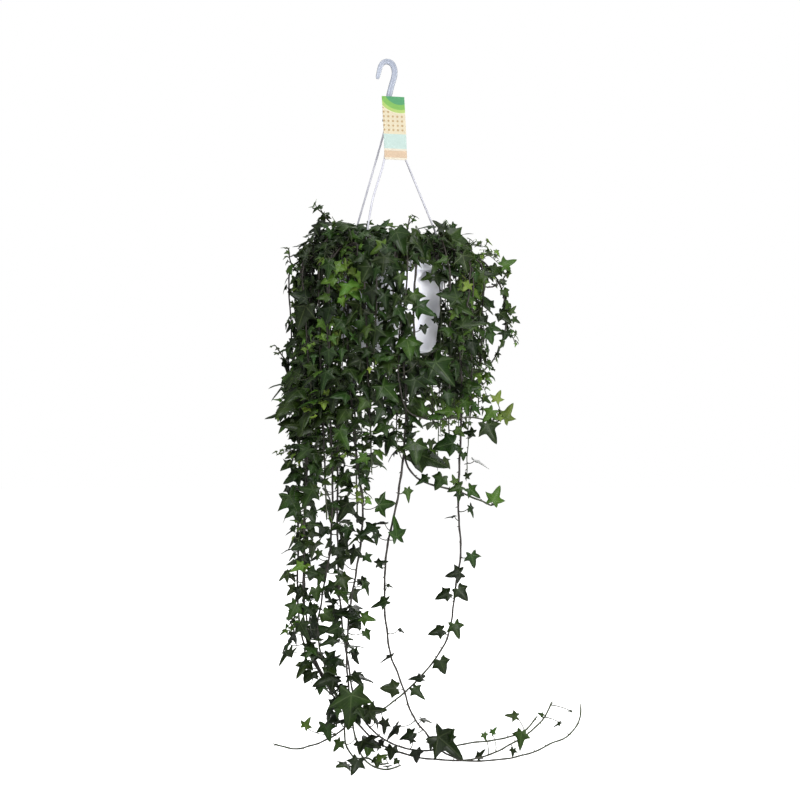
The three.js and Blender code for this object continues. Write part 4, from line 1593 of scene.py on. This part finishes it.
    def _leaf_along(self, vine: Vine, route: Route, habit: Habit, start: float, young: float) -> None:
        """Bears the leaves of a stem or a twig, on alternate sides and smaller towards the tip."""
        rng = vine.rng
        along = start
        side = rng.choice((1, -1))
        while along < route.length:
            point, ahead = route.at(along)
            to_tip = route.length - along
            fade = min(1.0, to_tip / 95.0)
            depth = max(0.0, min(1.0, (-500.0 - point.z) / 150.0))
            full = habit.crown_leaf + (habit.leaf - habit.crown_leaf) * depth
            size = habit.tip_leaf + (full - habit.tip_leaf) * fade**0.8
            size *= 0.66 + 0.78 * rng.random() ** 1.3
            age = max(young, (1.0 - fade) * rng.uniform(0.15, 0.62))
            if point.z < -330.0 and rng.random() < habit.airy:
                self._bud(vine, point, ahead)
            elif point.z > habit.chosen_below:
                self._leaf(vine, point, ahead, side, size, age * 0.85 + rng.uniform(0.02, 0.24))
                if rng.random() < habit.twigs and to_tip > 60 and start > 8:
                    self._twig(vine, point, ahead, side)
            elif rng.random() < 0.6:
                self._bud(vine, point, ahead)
            deep = max(0.0, min(1.0, (-840.0 - point.z) / 150.0))
            spacing = habit.crown_spacing + (habit.trail_spacing - habit.crown_spacing) * depth
            spacing += (habit.end_spacing - habit.trail_spacing) * deep
            along += spacing * rng.uniform(0.75, 1.25) * (0.5 + 0.5 * fade)
            side = -side

    def _bud(self, vine: Vine, point: Vector, ahead: Vector) -> None:
        """Grows a small bud at a node."""
        out = (ahead.orthogonal() + Vector([vine.rng.uniform(-0.8, 0.8) for _ in range(3)])).normalized()
        line = [point, point + out * 2.6, point + out * 4.6 + ahead * 0.8]
        self.tubes.lay(vine.bm, line, [0.9, 0.75, 0.3], 5, lambda share: (0.5 * share, 1.0, 0.0, 1.0))

    def _twig(self, vine: Vine, point: Vector, ahead: Vector, side: int) -> None:
        """Grows a short side twig with small young leaves."""
        rng = vine.rng
        outward = Vector((point.x, point.y, 0.0)).normalized()
        across = ahead.cross(outward).normalized() * side
        length = rng.uniform(30.0, 60.0)
        reach = outward * rng.uniform(0.2, 0.6) + across * rng.uniform(0.3, 0.9)
        tip = point + (reach + UP * rng.uniform(-0.9, 0.3)).normalized() * length
        middle = point.lerp(tip, 0.5) + UP * 0.14 * length
        twig = Route([point, middle, tip], 6.0)
        if min(tip.z, middle.z) < GROUND_Z + 25.0 or self._in_gap(tip) or self._in_gap(middle):
            return
        if not self.thicket.line_is_clear(twig.stations[1:], 1.0):
            return
        self.tubes.lay(
            vine.bm, twig.stations, [0.9 - 0.45 * i / len(twig.stations) for i in range(len(twig.stations))], 5,
            lambda share: (0.3 + 0.6 * share, 1.0, 0.0, 1.0),
        )
        self._leaf_along(vine, twig, TWIG, 8.0, rng.uniform(0.3, 0.65))


@dataclass(frozen=True)
class Trail:
    """A long or short vine whose route was chosen point by point, in millimetres."""

    root: tuple[float, float]
    points: tuple[tuple[float, float, float], ...]
    habit: Habit = Habit()

    def route(self) -> list[Vector]:
        """Gives the route from the root's foot in the potting mix to the tip."""
        x, y = self.root
        start = [Vector((x, y, SOIL_Z - 12.0)), Vector((x, y, SOIL_Z + 4.0))]
        return start + [Vector(p) for p in self.points]


@dataclass(frozen=True)
class Cascade:
    """A medium vine that arches over the rim and hangs, given by a few numbers."""

    azimuth: float
    reach: float
    drop: float
    sway: float

    def route(self, index: int) -> list[Vector]:
        """Gives the route from the root's foot in the potting mix to the tip.

        Args:
            index: Which cascade it is, counted from 0.

        Returns:
            The points in millimetres.
        """
        root = (62.0, 48.0, 74.0, 56.0)[index % 4]
        lift = (26.0, 14.0, 34.0, 20.0)[index % 4]
        sideways = polar(self.azimuth + 90.0, self.sway, 0.0)
        hang = [
            polar(self.azimuth, self.reach - 12.0 * share, RIM_Z - self.drop * share) + sideways * share
            for share in (0.3, 0.65, 1.0)
        ]
        return [
            polar(self.azimuth, root, SOIL_Z - 12.0),
            polar(self.azimuth, root, SOIL_Z + 4.0),
            polar(self.azimuth, root + 18.0, RIM_Z + lift * 0.8),
            polar(self.azimuth, (root + 18.0 + self.reach) / 2, RIM_Z + lift),
            polar(self.azimuth, self.reach - 6.0, RIM_Z - 4.0),
            *hang,
        ]


SPARSE = Habit(chosen_below=-1012.0)
TIP = Habit(crown_spacing=10.0, crown_leaf=17.0, tip_leaf=8.0, young=0.25, twigs=0.0, side_stems=0)
TWIG = Habit(10.0, 11.0, 14.0, crown_leaf=15.0, leaf=14.0, tip_leaf=8.0, twigs=0.0)
FULL = Habit(side_stems=3)
OPEN = Habit(crown_leaf=22.0, young=0.16, twigs=0.1, airy=0.5)

# Where fresh growth shows at the front: across, height, how wide, and how young.
FRESH = (
    (-56, -342, 26, 0.6), (-74, -411, 20, 0.62), (-9, -296, 16, 0.6), (112, -345, 14, 0.8), (-130, -776, 14, 0.6),
    (-22, -846, 12, 0.55), (-79, -1040, 24, 0.5), (180, -670, 24, 0.75), (178, -545, 26, 0.72),
)

# Leaves that can be told apart in the photograph: the middle's X and Z, the length, the direction of the tip in
# the front view, the tilt, and how young the leaf is.
SPOTS = (
    # The upper side shoot.
    (165, -515, 17, 70, 20, 0.85), (179, -540, 23, 60, 25, 0.75), (166, -546, 11, 200, 10, 0.95),
    (152, -542, 22, 230, 15, 0.5), (154, -565, 29, -60, 25, 0.2), (128, -570, 16, 170, 20, 0.05),
    (121, -530, 22, -80, 30, 0.45), (88, -537, 23, 180, 55, 0.42), (106, -538, 14, -100, 40, 0.5),
    (56, -532, 17, 100, 30, 0.3), (73, -545, 19, 190, 50, 0.55),
    # The vine at the right.
    (130, -500, 23, 0, 30, 0.2), (117, -509, 16, -120, 20, 0.1), (96, -498, 31, 160, 45, 0.06),
    (93, -518, 25, -80, 25, 0.2), (84, -476, 43, -50, 25, 0.12), (35, -501, 16, -100, 50, 0.15),
    (59, -482, 20, 95, 30, 0.25), (90, -586, 29, 190, 20, 0.2), (62, -601, 50, -8, 50, 0.1),
    (111, -593, 12, 100, 30, 0.4), (118, -605, 11, -90, 20, 0.35), (143, -617, 23, -30, 84, 0.1),
    (126, -635, 11, 30, 20, 0.2), (102, -638, 11, 110, 10, 0.4), (80, -641, 22, -120, 15, 0.25),
    (56, -638, 19, 215, 25, 0.2), (105, -651, 19, -160, 30, 0.3), (131, -656, 20, -35, 30, 0.38),
    (111, -666, 14, -90, 30, 0.35), (164, -662, 25, 65, 5, 0.62), (131, -687, 17, -60, 55, 0.3),
    (99, -697, 14, 200, 80, 0.1), (132, -762, 22, -75, 10, 0.22), (105, -783, 22, -170, 15, 0.05),
    (115, -812, 22, -50, 15, 0.06), (88, -815, 20, 200, 35, 0.12), (107, -867, 23, -70, 12, 0.2),
    (78, -869, 20, 195, 40, 0.15), (86, -921, 23, -65, 10, 0.22), (48, -960, 23, -45, 10, 0.3),
    (7, -950, 23, 180, 10, 0.3), (48, -938, 19, 170, 72, 0.1), (60, -1002, 16, -20, 72, 0.1),
    (33, -1025, 22, 200, 50, 0.1),
    # The front vine.
    (34, -659, 20, -80, 25, 0.4), (16, -712, 31, 95, 50, 0.3), (-6, -760, 16, 20, 35, 0.12),
    (6, -795, 9, -20, 60, 0.2), (-7, -818, 23, 190, 62, 0.12), (24, -861, 9, -30, 70, 0.1),
    (2, -903, 20, 200, 80, 0.1), (11, -1017, 25, 230, 74, 0.08), (36, -1044, 16, 180, 42, 0.08),
    (68, -1041, 14, -100, 30, 0.08), (48, -1066, 19, -80, 25, 0.1), (9, -1059, 19, -100, 20, 0.08),
    (93, -1041, 48, -40, 35, 0.15), (100, -1027, 14, 88, 50, 0.15), (147, -1069, 16, 45, 60, 0.12),
    # The ends on the floor at the right.
    (152, -1037, 11, -70, 20, 0.45), (166, -1030, 11, 50, 40, 0.5), (196, -1010, 17, 170, 40, 0.4),
    (208, -1045, 31, -100, 20, 0.3), (196, -1065, 12, -100, 35, 0.15), (241, -1010, 9, 150, 50, 0.4),
    (287, -1005, 6, 180, 60, 0.2), (267, -1024, 12, 200, 80, 0.1),
    # The bundle's foot.
    (-124, -1025, 16, 60, 10, 0.7), (-92, -1036, 26, -75, 15, 0.48), (-73, -1044, 17, -125, 25, 0.48),
    (-80, -1007, 19, 200, 25, 0.2), (-50, -976, 51, -88, 20, 0.3), (-31, -1002, 25, -60, 25, 0.32),
    (-16, -986, 25, 5, 30, 0.15), (-1, -1009, 20, -95, 35, 0.05), (-14, -1014, 16, -80, 70, 0.1),
    (-26, -1044, 16, 200, 35, 0.08), (-9, -1044, 16, 230, 65, 0.1), (-70, -960, 34, 5, 40, 0.1),
    (-88, -940, 31, 205, 30, 0.16), (-80, -982, 25, 235, 30, 0.1),
    # The bundle.
    (-140, -678, 37, -60, 25, 0.32), (-108, -722, 17, -5, 30, 0.1), (-131, -741, 19, 200, 15, 0.1),
    (-132, -761, 16, 210, 50, 0.05), (-131, -771, 20, 210, 10, 0.72), (-101, -752, 14, -110, 30, 0.2),
    (-108, -781, 26, -20, 25, 0.2), (-68, -749, 23, -60, 30, 0.15), (-47, -749, 22, -110, 30, 0.05),
    (-62, -792, 25, -70, 30, 0.25), (-85, -801, 20, 190, 35, 0.3), (-103, -809, 19, -80, 30, 0.3),
    (-126, -809, 12, 120, 30, 0.08), (-112, -839, 22, -60, 30, 0.2), (-85, -835, 17, 180, 62, 0.1),
    (-55, -838, 29, 175, 66, 0.18), (-27, -844, 19, -15, 20, 0.62), (-28, -868, 14, -60, 35, 0.4),
    (-84, -879, 22, 205, 45, 0.14), (-46, -884, 23, 0, 84, 0.1), (-55, -874, 12, -20, 55, 0.15),
    (-103, -879, 16, 175, 80, 0.1), (-114, -903, 20, 190, 30, 0.2), (-78, -909, 26, -20, 30, 0.1),
    (-27, -797, 20, -60, 62, 0.2), (-55, -716, 19, -90, 25, 0.16), (-30, -722, 25, -20, 62, 0.12),
    (-13, -724, 16, -80, 40, 0.05), (-9, -704, 23, 185, 80, 0.05),
    # The left side.
    (-154, -468, 23, -80, 62, 0.08), (-134, -460, 17, 180, 25, 0.08), (-126, -516, 31, -120, 30, 0.06),
    (-132, -558, 43, 178, 45, 0.25), (-143, -604, 19, 205, 45, 0.14), (-142, -637, 26, 205, 25, 0.26),
    (-103, -623, 23, -40, 30, 0.3), (-26, -620, 22, -80, 40, 0.2), (-126, -391, 37, -120, 30, 0.03),
    (-127, -365, 25, 160, 30, 0.03), (-82, -273, 20, -90, 35, 0.38), (-92, -258, 12, 150, 30, 0.3),
    (-8, -298, 22, 210, 20, 0.75), (-63, -375, 12, -70, 15, 0.8), (-60, -320, 12, 90, 30, 0.75),
    (-62, -339, 14, -40, 25, 0.65), (-82, -343, 19, 200, 20, 0.48), (-90, -369, 16, 190, 35, 0.45),
    (-91, -409, 25, -60, 15, 0.66), (20, -283, 31, -70, 30, 0.16), (-5, -261, 22, 50, 45, 0.2),
    (-45, -257, 25, 180, 55, 0.1), (-11, -323, 20, -50, 40, 0.14), (-3, -360, 37, 10, 50, 0.2),
    (8, -382, 28, -80, 25, 0.15), (-144, -433, 17, 215, 40, 0.08), (-60, -411, 28, -60, 25, 0.2),
    (-149, -406, 16, 225, 60, 0.08), (-117, -293, 12, 120, 20, 0.06), (-124, -304, 14, 180, 30, 0.08),
    (-132, -334, 12, 200, 70, 0.1),
    (22, -393, 22, -60, 30, 0.15), (30, -421, 20, -120, 30, 0.1), (10, -437, 22, -70, 30, 0.12),
    (20, -362, 22, -100, 35, 0.2), (0, -415, 24, -110, 30, 0.1), (8, -345, 20, -60, 30, 0.2),
    (4, -306, 24, -80, 30, 0.12), (14, -320, 20, -50, 30, 0.15), (-24, -300, 24, -100, 30, 0.12),
    (-2, -322, 26, -95, 25, 0.12), (12, -334, 24, -70, 30, 0.15), (-14, -336, 22, -110, 30, 0.2),
    (20, -345, 20, -85, 30, 0.1), (-30, -318, 24, -80, 30, 0.12), (-42, -330, 22, -100, 30, 0.15),
    (2, -375, 24, -75, 30, 0.12), (16, -376, 20, -110, 30, 0.1), (-20, -368, 24, -95, 30, 0.1),
    (-35, -395, 26, -70, 30, 0.12), (-15, -425, 26, -100, 30, 0.1), (24, -300, 24, -95, 30, 0.12),
    (-88, -305, 24, -80, 25, 0.12), (-84, -328, 22, -100, 30, 0.2), (-90, -352, 24, -70, 30, 0.15),
    (-84, -392, 24, -110, 30, 0.1), (-92, -428, 22, -75, 30, 0.12), (-84, -455, 24, -95, 30, 0.1),
    # The right side.
    (186, -312, 20, 25, 15, 0.6), (179, -338, 12, 170, 35, 0.1), (155, -328, 20, 10, 35, 0.1),
    (140, -335, 22, 205, 30, 0.4), (115, -345, 17, 30, 15, 0.9), (118, -315, 28, -70, 20, 0.08),
    (106, -280, 37, -30, 25, 0.22), (81, -261, 20, 140, 30, 0.05), (134, -281, 22, 0, 84, 0.05),
    (122, -264, 19, 5, 84, 0.1), (105, -255, 14, -50, 30, 0.12), (31, -287, 31, -110, 35, 0.14),
    (56, -298, 29, -80, 30, 0.16), (63, -336, 16, 200, 25, 0.5), (84, -336, 25, -10, 35, 0.2),
    (44, -372, 25, -75, 20, 0.3), (57, -415, 12, -80, 20, 0.05), (75, -397, 12, 100, 25, 0.05),
    (96, -367, 29, 170, 35, 0.2), (115, -385, 29, -30, 35, 0.2), (149, -399, 16, -60, 30, 0.08),
    (155, -372, 20, 120, 40, 0.2), (182, -392, 22, -40, 35, 0.1), (195, -381, 12, 50, 25, 0.3),
    (200, -397, 12, -30, 25, 0.3), (189, -418, 11, -60, 40, 0.1), (126, -410, 37, 5, 60, 0.2),
    (160, -425, 17, -70, 20, 0.42), (173, -446, 17, -88, 72, 0.06), (96, -441, 20, -100, 25, 0.04),
    (133, -441, 23, -70, 30, 0.08), (124, -468, 19, -80, 30, 0.08), (149, -456, 16, -85, 60, 0.08),
    (164, -411, 19, -20, 30, 0.3),
)


TRAILS = {
    "trail_left_outer": Trail(
        (-62, -10),
        (
            (-88, -14, -286), (-114, -18, -304), (-128, -20, -370), (-131, -22, -520), (-134, -25, -700),
            (-135, -28, -815), (-126, -32, -890), (-92, -38, -950), (-66, -42, -990), (-60, -44, -1046),
            (-46, -44, -1066), (-28, -40, -1066), (-8, -46, -1074), (6, -50, -1072),
        ),
    ),
    "trail_left_floor": Trail(
        (-58, 24),
        (
            (-84, 34, -284), (-108, 44, -300), (-122, 52, -370), (-125, 50, -540), (-129, 40, -740),
            (-125, 24, -860), (-110, 12, -925), (-80, 8, -975), (-58, 10, -1018), (-76, 26, -1042),
            (-97, 46, -1057), (-126, 76, -1073), (-150, 90, -1079), (-184, 100, -1073),
        ),
        SPARSE,
    ),
    "trail_far_right": Trail(
        (-54, -28),
        (
            (-82, -42, -288), (-102, -54, -302), (-114, -60, -370), (-116, -62, -540), (-124, -62, -740),
            (-120, -62, -880), (-98, -62, -935), (-66, -62, -985), (-36, -48, -1019), (-13, -34, -1044),
            (16, -24, -1060), (51, -12, -1072), (96, 0, -1078), (160, 10, -1081), (212, 34, -1079),
            (248, 55, -1070), (292, 80, -1054), (311, 92, -1030), (312, 97, -1008),
        ),
        SPARSE,
    ),
    "trail_left_inner": Trail(
        (-44, -52),
        (
            (-64, -76, -288), (-80, -98, -304), (-86, -106, -380), (-82, -100, -540), (-80, -80, -680),
            (-84, -76, -747), (-95, -76, -815), (-102, -78, -861), (-92, -80, -920), (-74, -84, -960),
            (-56, -84, -990),
        ),
    ),
    "trail_middle": Trail(
        (-30, -60),
        (
            (-44, -88, -288), (-53, -106, -304), (-56, -114, -380), (-50, -112, -540), (-34, -106, -690),
            (-45, -104, -785), (-54, -102, -839), (-57, -100, -925), (-50, -98, -985), (-44, -80, -1030),
            (-30, -70, -1064), (0, -66, -1079), (24, -64, -1072),
        ),
        Habit(leaf=23.0),
    ),
    "trail_middle_back": Trail(
        (-46, 42),
        (
            (-67, 60, -286), (-80, 76, -300), (-84, 88, -380), (-78, 90, -560), (-78, 70, -740),
            (-72, 30, -840), (-60, 0, -920), (-46, -16, -990), (-22, -20, -1026), (20, -6, -1056),
            (70, 14, -1066), (130, 30, -1058), (190, 44, -1052), (222, 52, -1040), (240, 58, -1020),
        ),
        SPARSE,
    ),
    "trail_front": Trail(
        (6, -62),
        (
            (12, -92, -288), (16, -112, -304), (22, -124, -380), (30, -122, -560), (19, -112, -661),
            (10, -110, -704), (0, -110, -760), (1, -108, -851), (8, -100, -900), (26, -90, -949),
            (40, -76, -993), (61, -60, -1025), (80, -50, -1050), (120, -32, -1071), (160, -12, -1067),
            (194, 4, -1054), (221, 14, -1040), (245, 20, -1019), (260, 22, -990),
        ),
        Habit(chosen_below=-620.0),
    ),
    "trail_right": Trail(
        (62, -26),
        (
            (88, -36, -288), (106, -44, -304), (112, -50, -380), (115, -52, -520), (113, -52, -590),
            (110, -52, -687), (114, -52, -750), (108, -54, -790), (102, -56, -832), (96, -58, -872),
            (82, -60, -902), (61, -62, -930), (34, -66, -957), (12, -70, -974), (-12, -76, -990),
        ),
        Habit(crown_leaf=23.0, young=0.1, chosen_below=-470.0, airy=0.35),
    ),
    "side_shoot_upper": Trail(
        (20, -52),
        (
            (26, -86, -284), (32, -114, -298), (30, -132, -360), (20, -136, -440), (22, -140, -505),
            (36, -140, -538), (67, -138, -548), (130, -134, -545), (158, -132, -553), (176, -130, -546),
        ),
        Habit(chosen_below=-490.0),
    ),
    "side_shoot_lower": Trail(
        (34, -56),
        (
            (44, -90, -288), (46, -110, -304), (42, -116, -380), (44, -108, -470), (38, -106, -520),
            (28, -110, -600), (43, -108, -633), (66, -106, -645), (109, -104, -657), (145, -102, -671),
            (159, -100, -677), (176, -98, -668),
        ),
        Habit(chosen_below=-600.0),
    ),
    "shoot_top_left": Trail(
        (-36, -8),
        ((-50, -12, -292), (-68, -16, -268), (-88, -20, -243), (-104, -22, -227), (-112, -24, -226)),
        TIP,
    ),
    "shoot_left_tip": Trail(
        (-70, -2),
        (
            (-86, -3, -298), (-108, -4, -302), (-126, -5, -328), (-140, -6, -320), (-148, -7, -305),
            (-150, -8, -286),
        ),
        TIP,
    ),
    "shoot_left_low": Trail(
        (-66, 12),
        (
            (-88, 16, -296), (-110, 20, -306), (-118, 22, -370), (-122, 24, -450), (-134, 25, -470),
            (-150, 27, -463), (-164, 29, -449), (-174, 30, -434),
        ),
        Habit(young=0.08),
    ),
    "shoot_right_tip": Trail(
        (74, -14),
        (
            (92, -18, -296), (116, -22, -306), (140, -26, -342), (160, -28, -348), (175, -30, -339),
            (185, -31, -325), (190, -32, -310),
        ),
        Habit(crown_leaf=21.0, young=0.28, airy=0.25),
    ),
    "shoot_right_curl": Trail(
        (68, 0),
        (
            (90, 0, -288), (122, -2, -290), (160, -4, -316), (182, -6, -360), (184, -8, -410),
            (172, -9, -448), (156, -10, -470), (134, -11, -477),
        ),
        Habit(crown_leaf=21.0, young=0.2, airy=0.25),
    ),
    "shoot_top_middle": Trail((16, -30), ((24, -36, -292), (32, -40, -262), (38, -42, -238)), TIP),
    "shoot_top_right": Trail((54, -6), ((66, -8, -294), (80, -10, -268), (92, -12, -246)), TIP),
    "shoot_top_back": Trail((-12, 34), ((-16, 44, -292), (-24, 58, -264), (-34, 70, -246)), TIP),
}

CASCADES = (
    Cascade(198, 140, 350, -10), Cascade(213, 150, 240, 14), Cascade(221, 136, 390, 8),
    Cascade(237, 152, 190, -8), Cascade(257, 142, 320, 10), Cascade(266, 156, 170, -6),
    Cascade(312, 146, 280, 6), Cascade(321, 166, 150, -10), Cascade(331, 152, 240, 12),
    Cascade(343, 158, 230, 4), Cascade(19, 166, 170, 10), Cascade(31, 146, 260, -8),
    Cascade(44, 158, 210, 8), Cascade(58, 142, 250, -6), Cascade(72, 154, 180, 8),
    Cascade(86, 142, 280, -8), Cascade(100, 154, 220, 6), Cascade(114, 142, 400, -6),
    Cascade(125, 152, 180, 4), Cascade(150, 150, 280, 6), Cascade(162, 142, 390, 8),
    Cascade(174, 154, 220, -4),
)


# The studio


@dataclass
class Studio:
    """A pale floor, soft light, and the camera of the photograph."""

    floor_z: float = -1.0875
    width: float = 1.24
    distance: float = 2.6
    eye: tuple[float, float] = (0.0217, -0.52)
    ambient: float = 0.25

    def build(self) -> None:
        """Sets the stage, the lights and the camera."""
        material, tree, shader = new_material("matt_white_floor")
        shader.inputs["Base Color"].default_value = linear("fbfbfb")
        shader.inputs["Roughness"].default_value = 0.9
        # The floor glows only to the eye, so that it looks as white as the background and casts no light.
        path = add_node(tree, "ShaderNodeLightPath")
        glow = add_node(tree, "ShaderNodeMath", {0: path.outputs["Is Camera Ray"], 1: 0.8}, operation="MULTIPLY")
        tree.links.new(glow.outputs[0], shader.inputs["Emission Strength"])
        shader.inputs["Emission Color"].default_value = (1.0, 1.0, 1.0, 1.0)
        bm = bmesh.new()
        bmesh.ops.create_grid(
            bm, x_segments=1, y_segments=1, size=8.0, matrix=Matrix.Translation((0.0, 0.0, self.floor_z))
        )
        floor = to_object(bm, "floor", [material])
        world = bpy.data.worlds.new("soft_daylight")
        bpy.context.scene.world = world
        world.use_nodes = True
        # The background is white where it is seen, straight or through the clear plastic, and lights softly.
        sky = world.node_tree
        background = sky.nodes["Background"]
        path = add_node(sky, "ShaderNodeLightPath")
        seen = add_node(
            sky,
            "ShaderNodeMath",
            {0: path.outputs["Is Camera Ray"], 1: path.outputs["Is Transmission Ray"]},
            operation="MAXIMUM",
        )
        strength = add_node(
            sky, "ShaderNodeMapRange", {"Value": seen.outputs[0], "To Min": self.ambient, "To Max": 1.0}
        )
        background.inputs["Color"].default_value = (1.0, 1.0, 1.0, 1.0)
        sky.links.new(strength.outputs["Result"], background.inputs["Strength"])
        self._lamp("key", (-1.0, -2.1, 1.7), 1.1, 70.0)
        self._lamp("fill", (1.5, -2.3, -0.25), 1.2, 72.0)
        self._lamp("top", (0.3, 0.3, 1.6), 1.2, 26.0)
        self._lamp("back", (0.9, 2.5, 0.5), 1.4, 34.0)
        camera = bpy.data.cameras.new("camera")
        camera.sensor_width = 36.0
        camera.lens = 36.0 * self.distance / self.width
        camera.clip_end = 50.0
        eye = bpy.data.objects.new("camera", camera)
        eye.location = (self.eye[0], -self.distance, self.eye[1])
        eye.rotation_euler = (math.pi / 2, 0.0, 0.0)
        bpy.context.scene.collection.objects.link(eye)
        bpy.context.scene.camera = eye
        bpy.context.scene.view_settings.view_transform = "Standard"

    @staticmethod
    def _lamp(name: str, spot: tuple[float, float, float], size: float, power: float) -> None:
        """Adds a square area lamp that shines at the middle of the plant."""
        light = bpy.data.lights.new(name, "AREA")
        light.size = size
        light.energy = power
        lamp = bpy.data.objects.new(name, light)
        lamp.location = spot
        lamp.rotation_euler = (Vector(spot) - Vector((0.0, 0.0, -0.5))).to_track_quat("Z", "Y").to_euler()
        bpy.context.scene.collection.objects.link(lamp)


def main() -> None:
    """Builds the stage, the made parts and the vines, in order."""
    Studio().build()
    pot = Pot().build()
    mix = PottingMix().build()
    hanger = Hanger().build()
    tag = HangTag().build()
    thicket = Thicket()
    for obj in (pot, mix, tag, *hanger):
        thicket.add_object(obj)
    ivy = Ivy(thicket)
    for name, trail in TRAILS.items():
        ivy.sprout(f"ivy_{name}", trail.route(), trail.habit)
    for index, cascade in enumerate(CASCADES):
        habit = FULL if 25.0 < cascade.azimuth < 300.0 else OPEN
        ivy.sprout(f"ivy_cascade_{index + 1:02d}", cascade.route(index), habit)
    ivy.branch()
    ivy.settle(SPOTS)
    ivy.leaf_out()


if __name__ == "__main__":
    logging.basicConfig(level=logging.INFO, format="%(name)s: %(message)s", stream=sys.stdout)
    main()
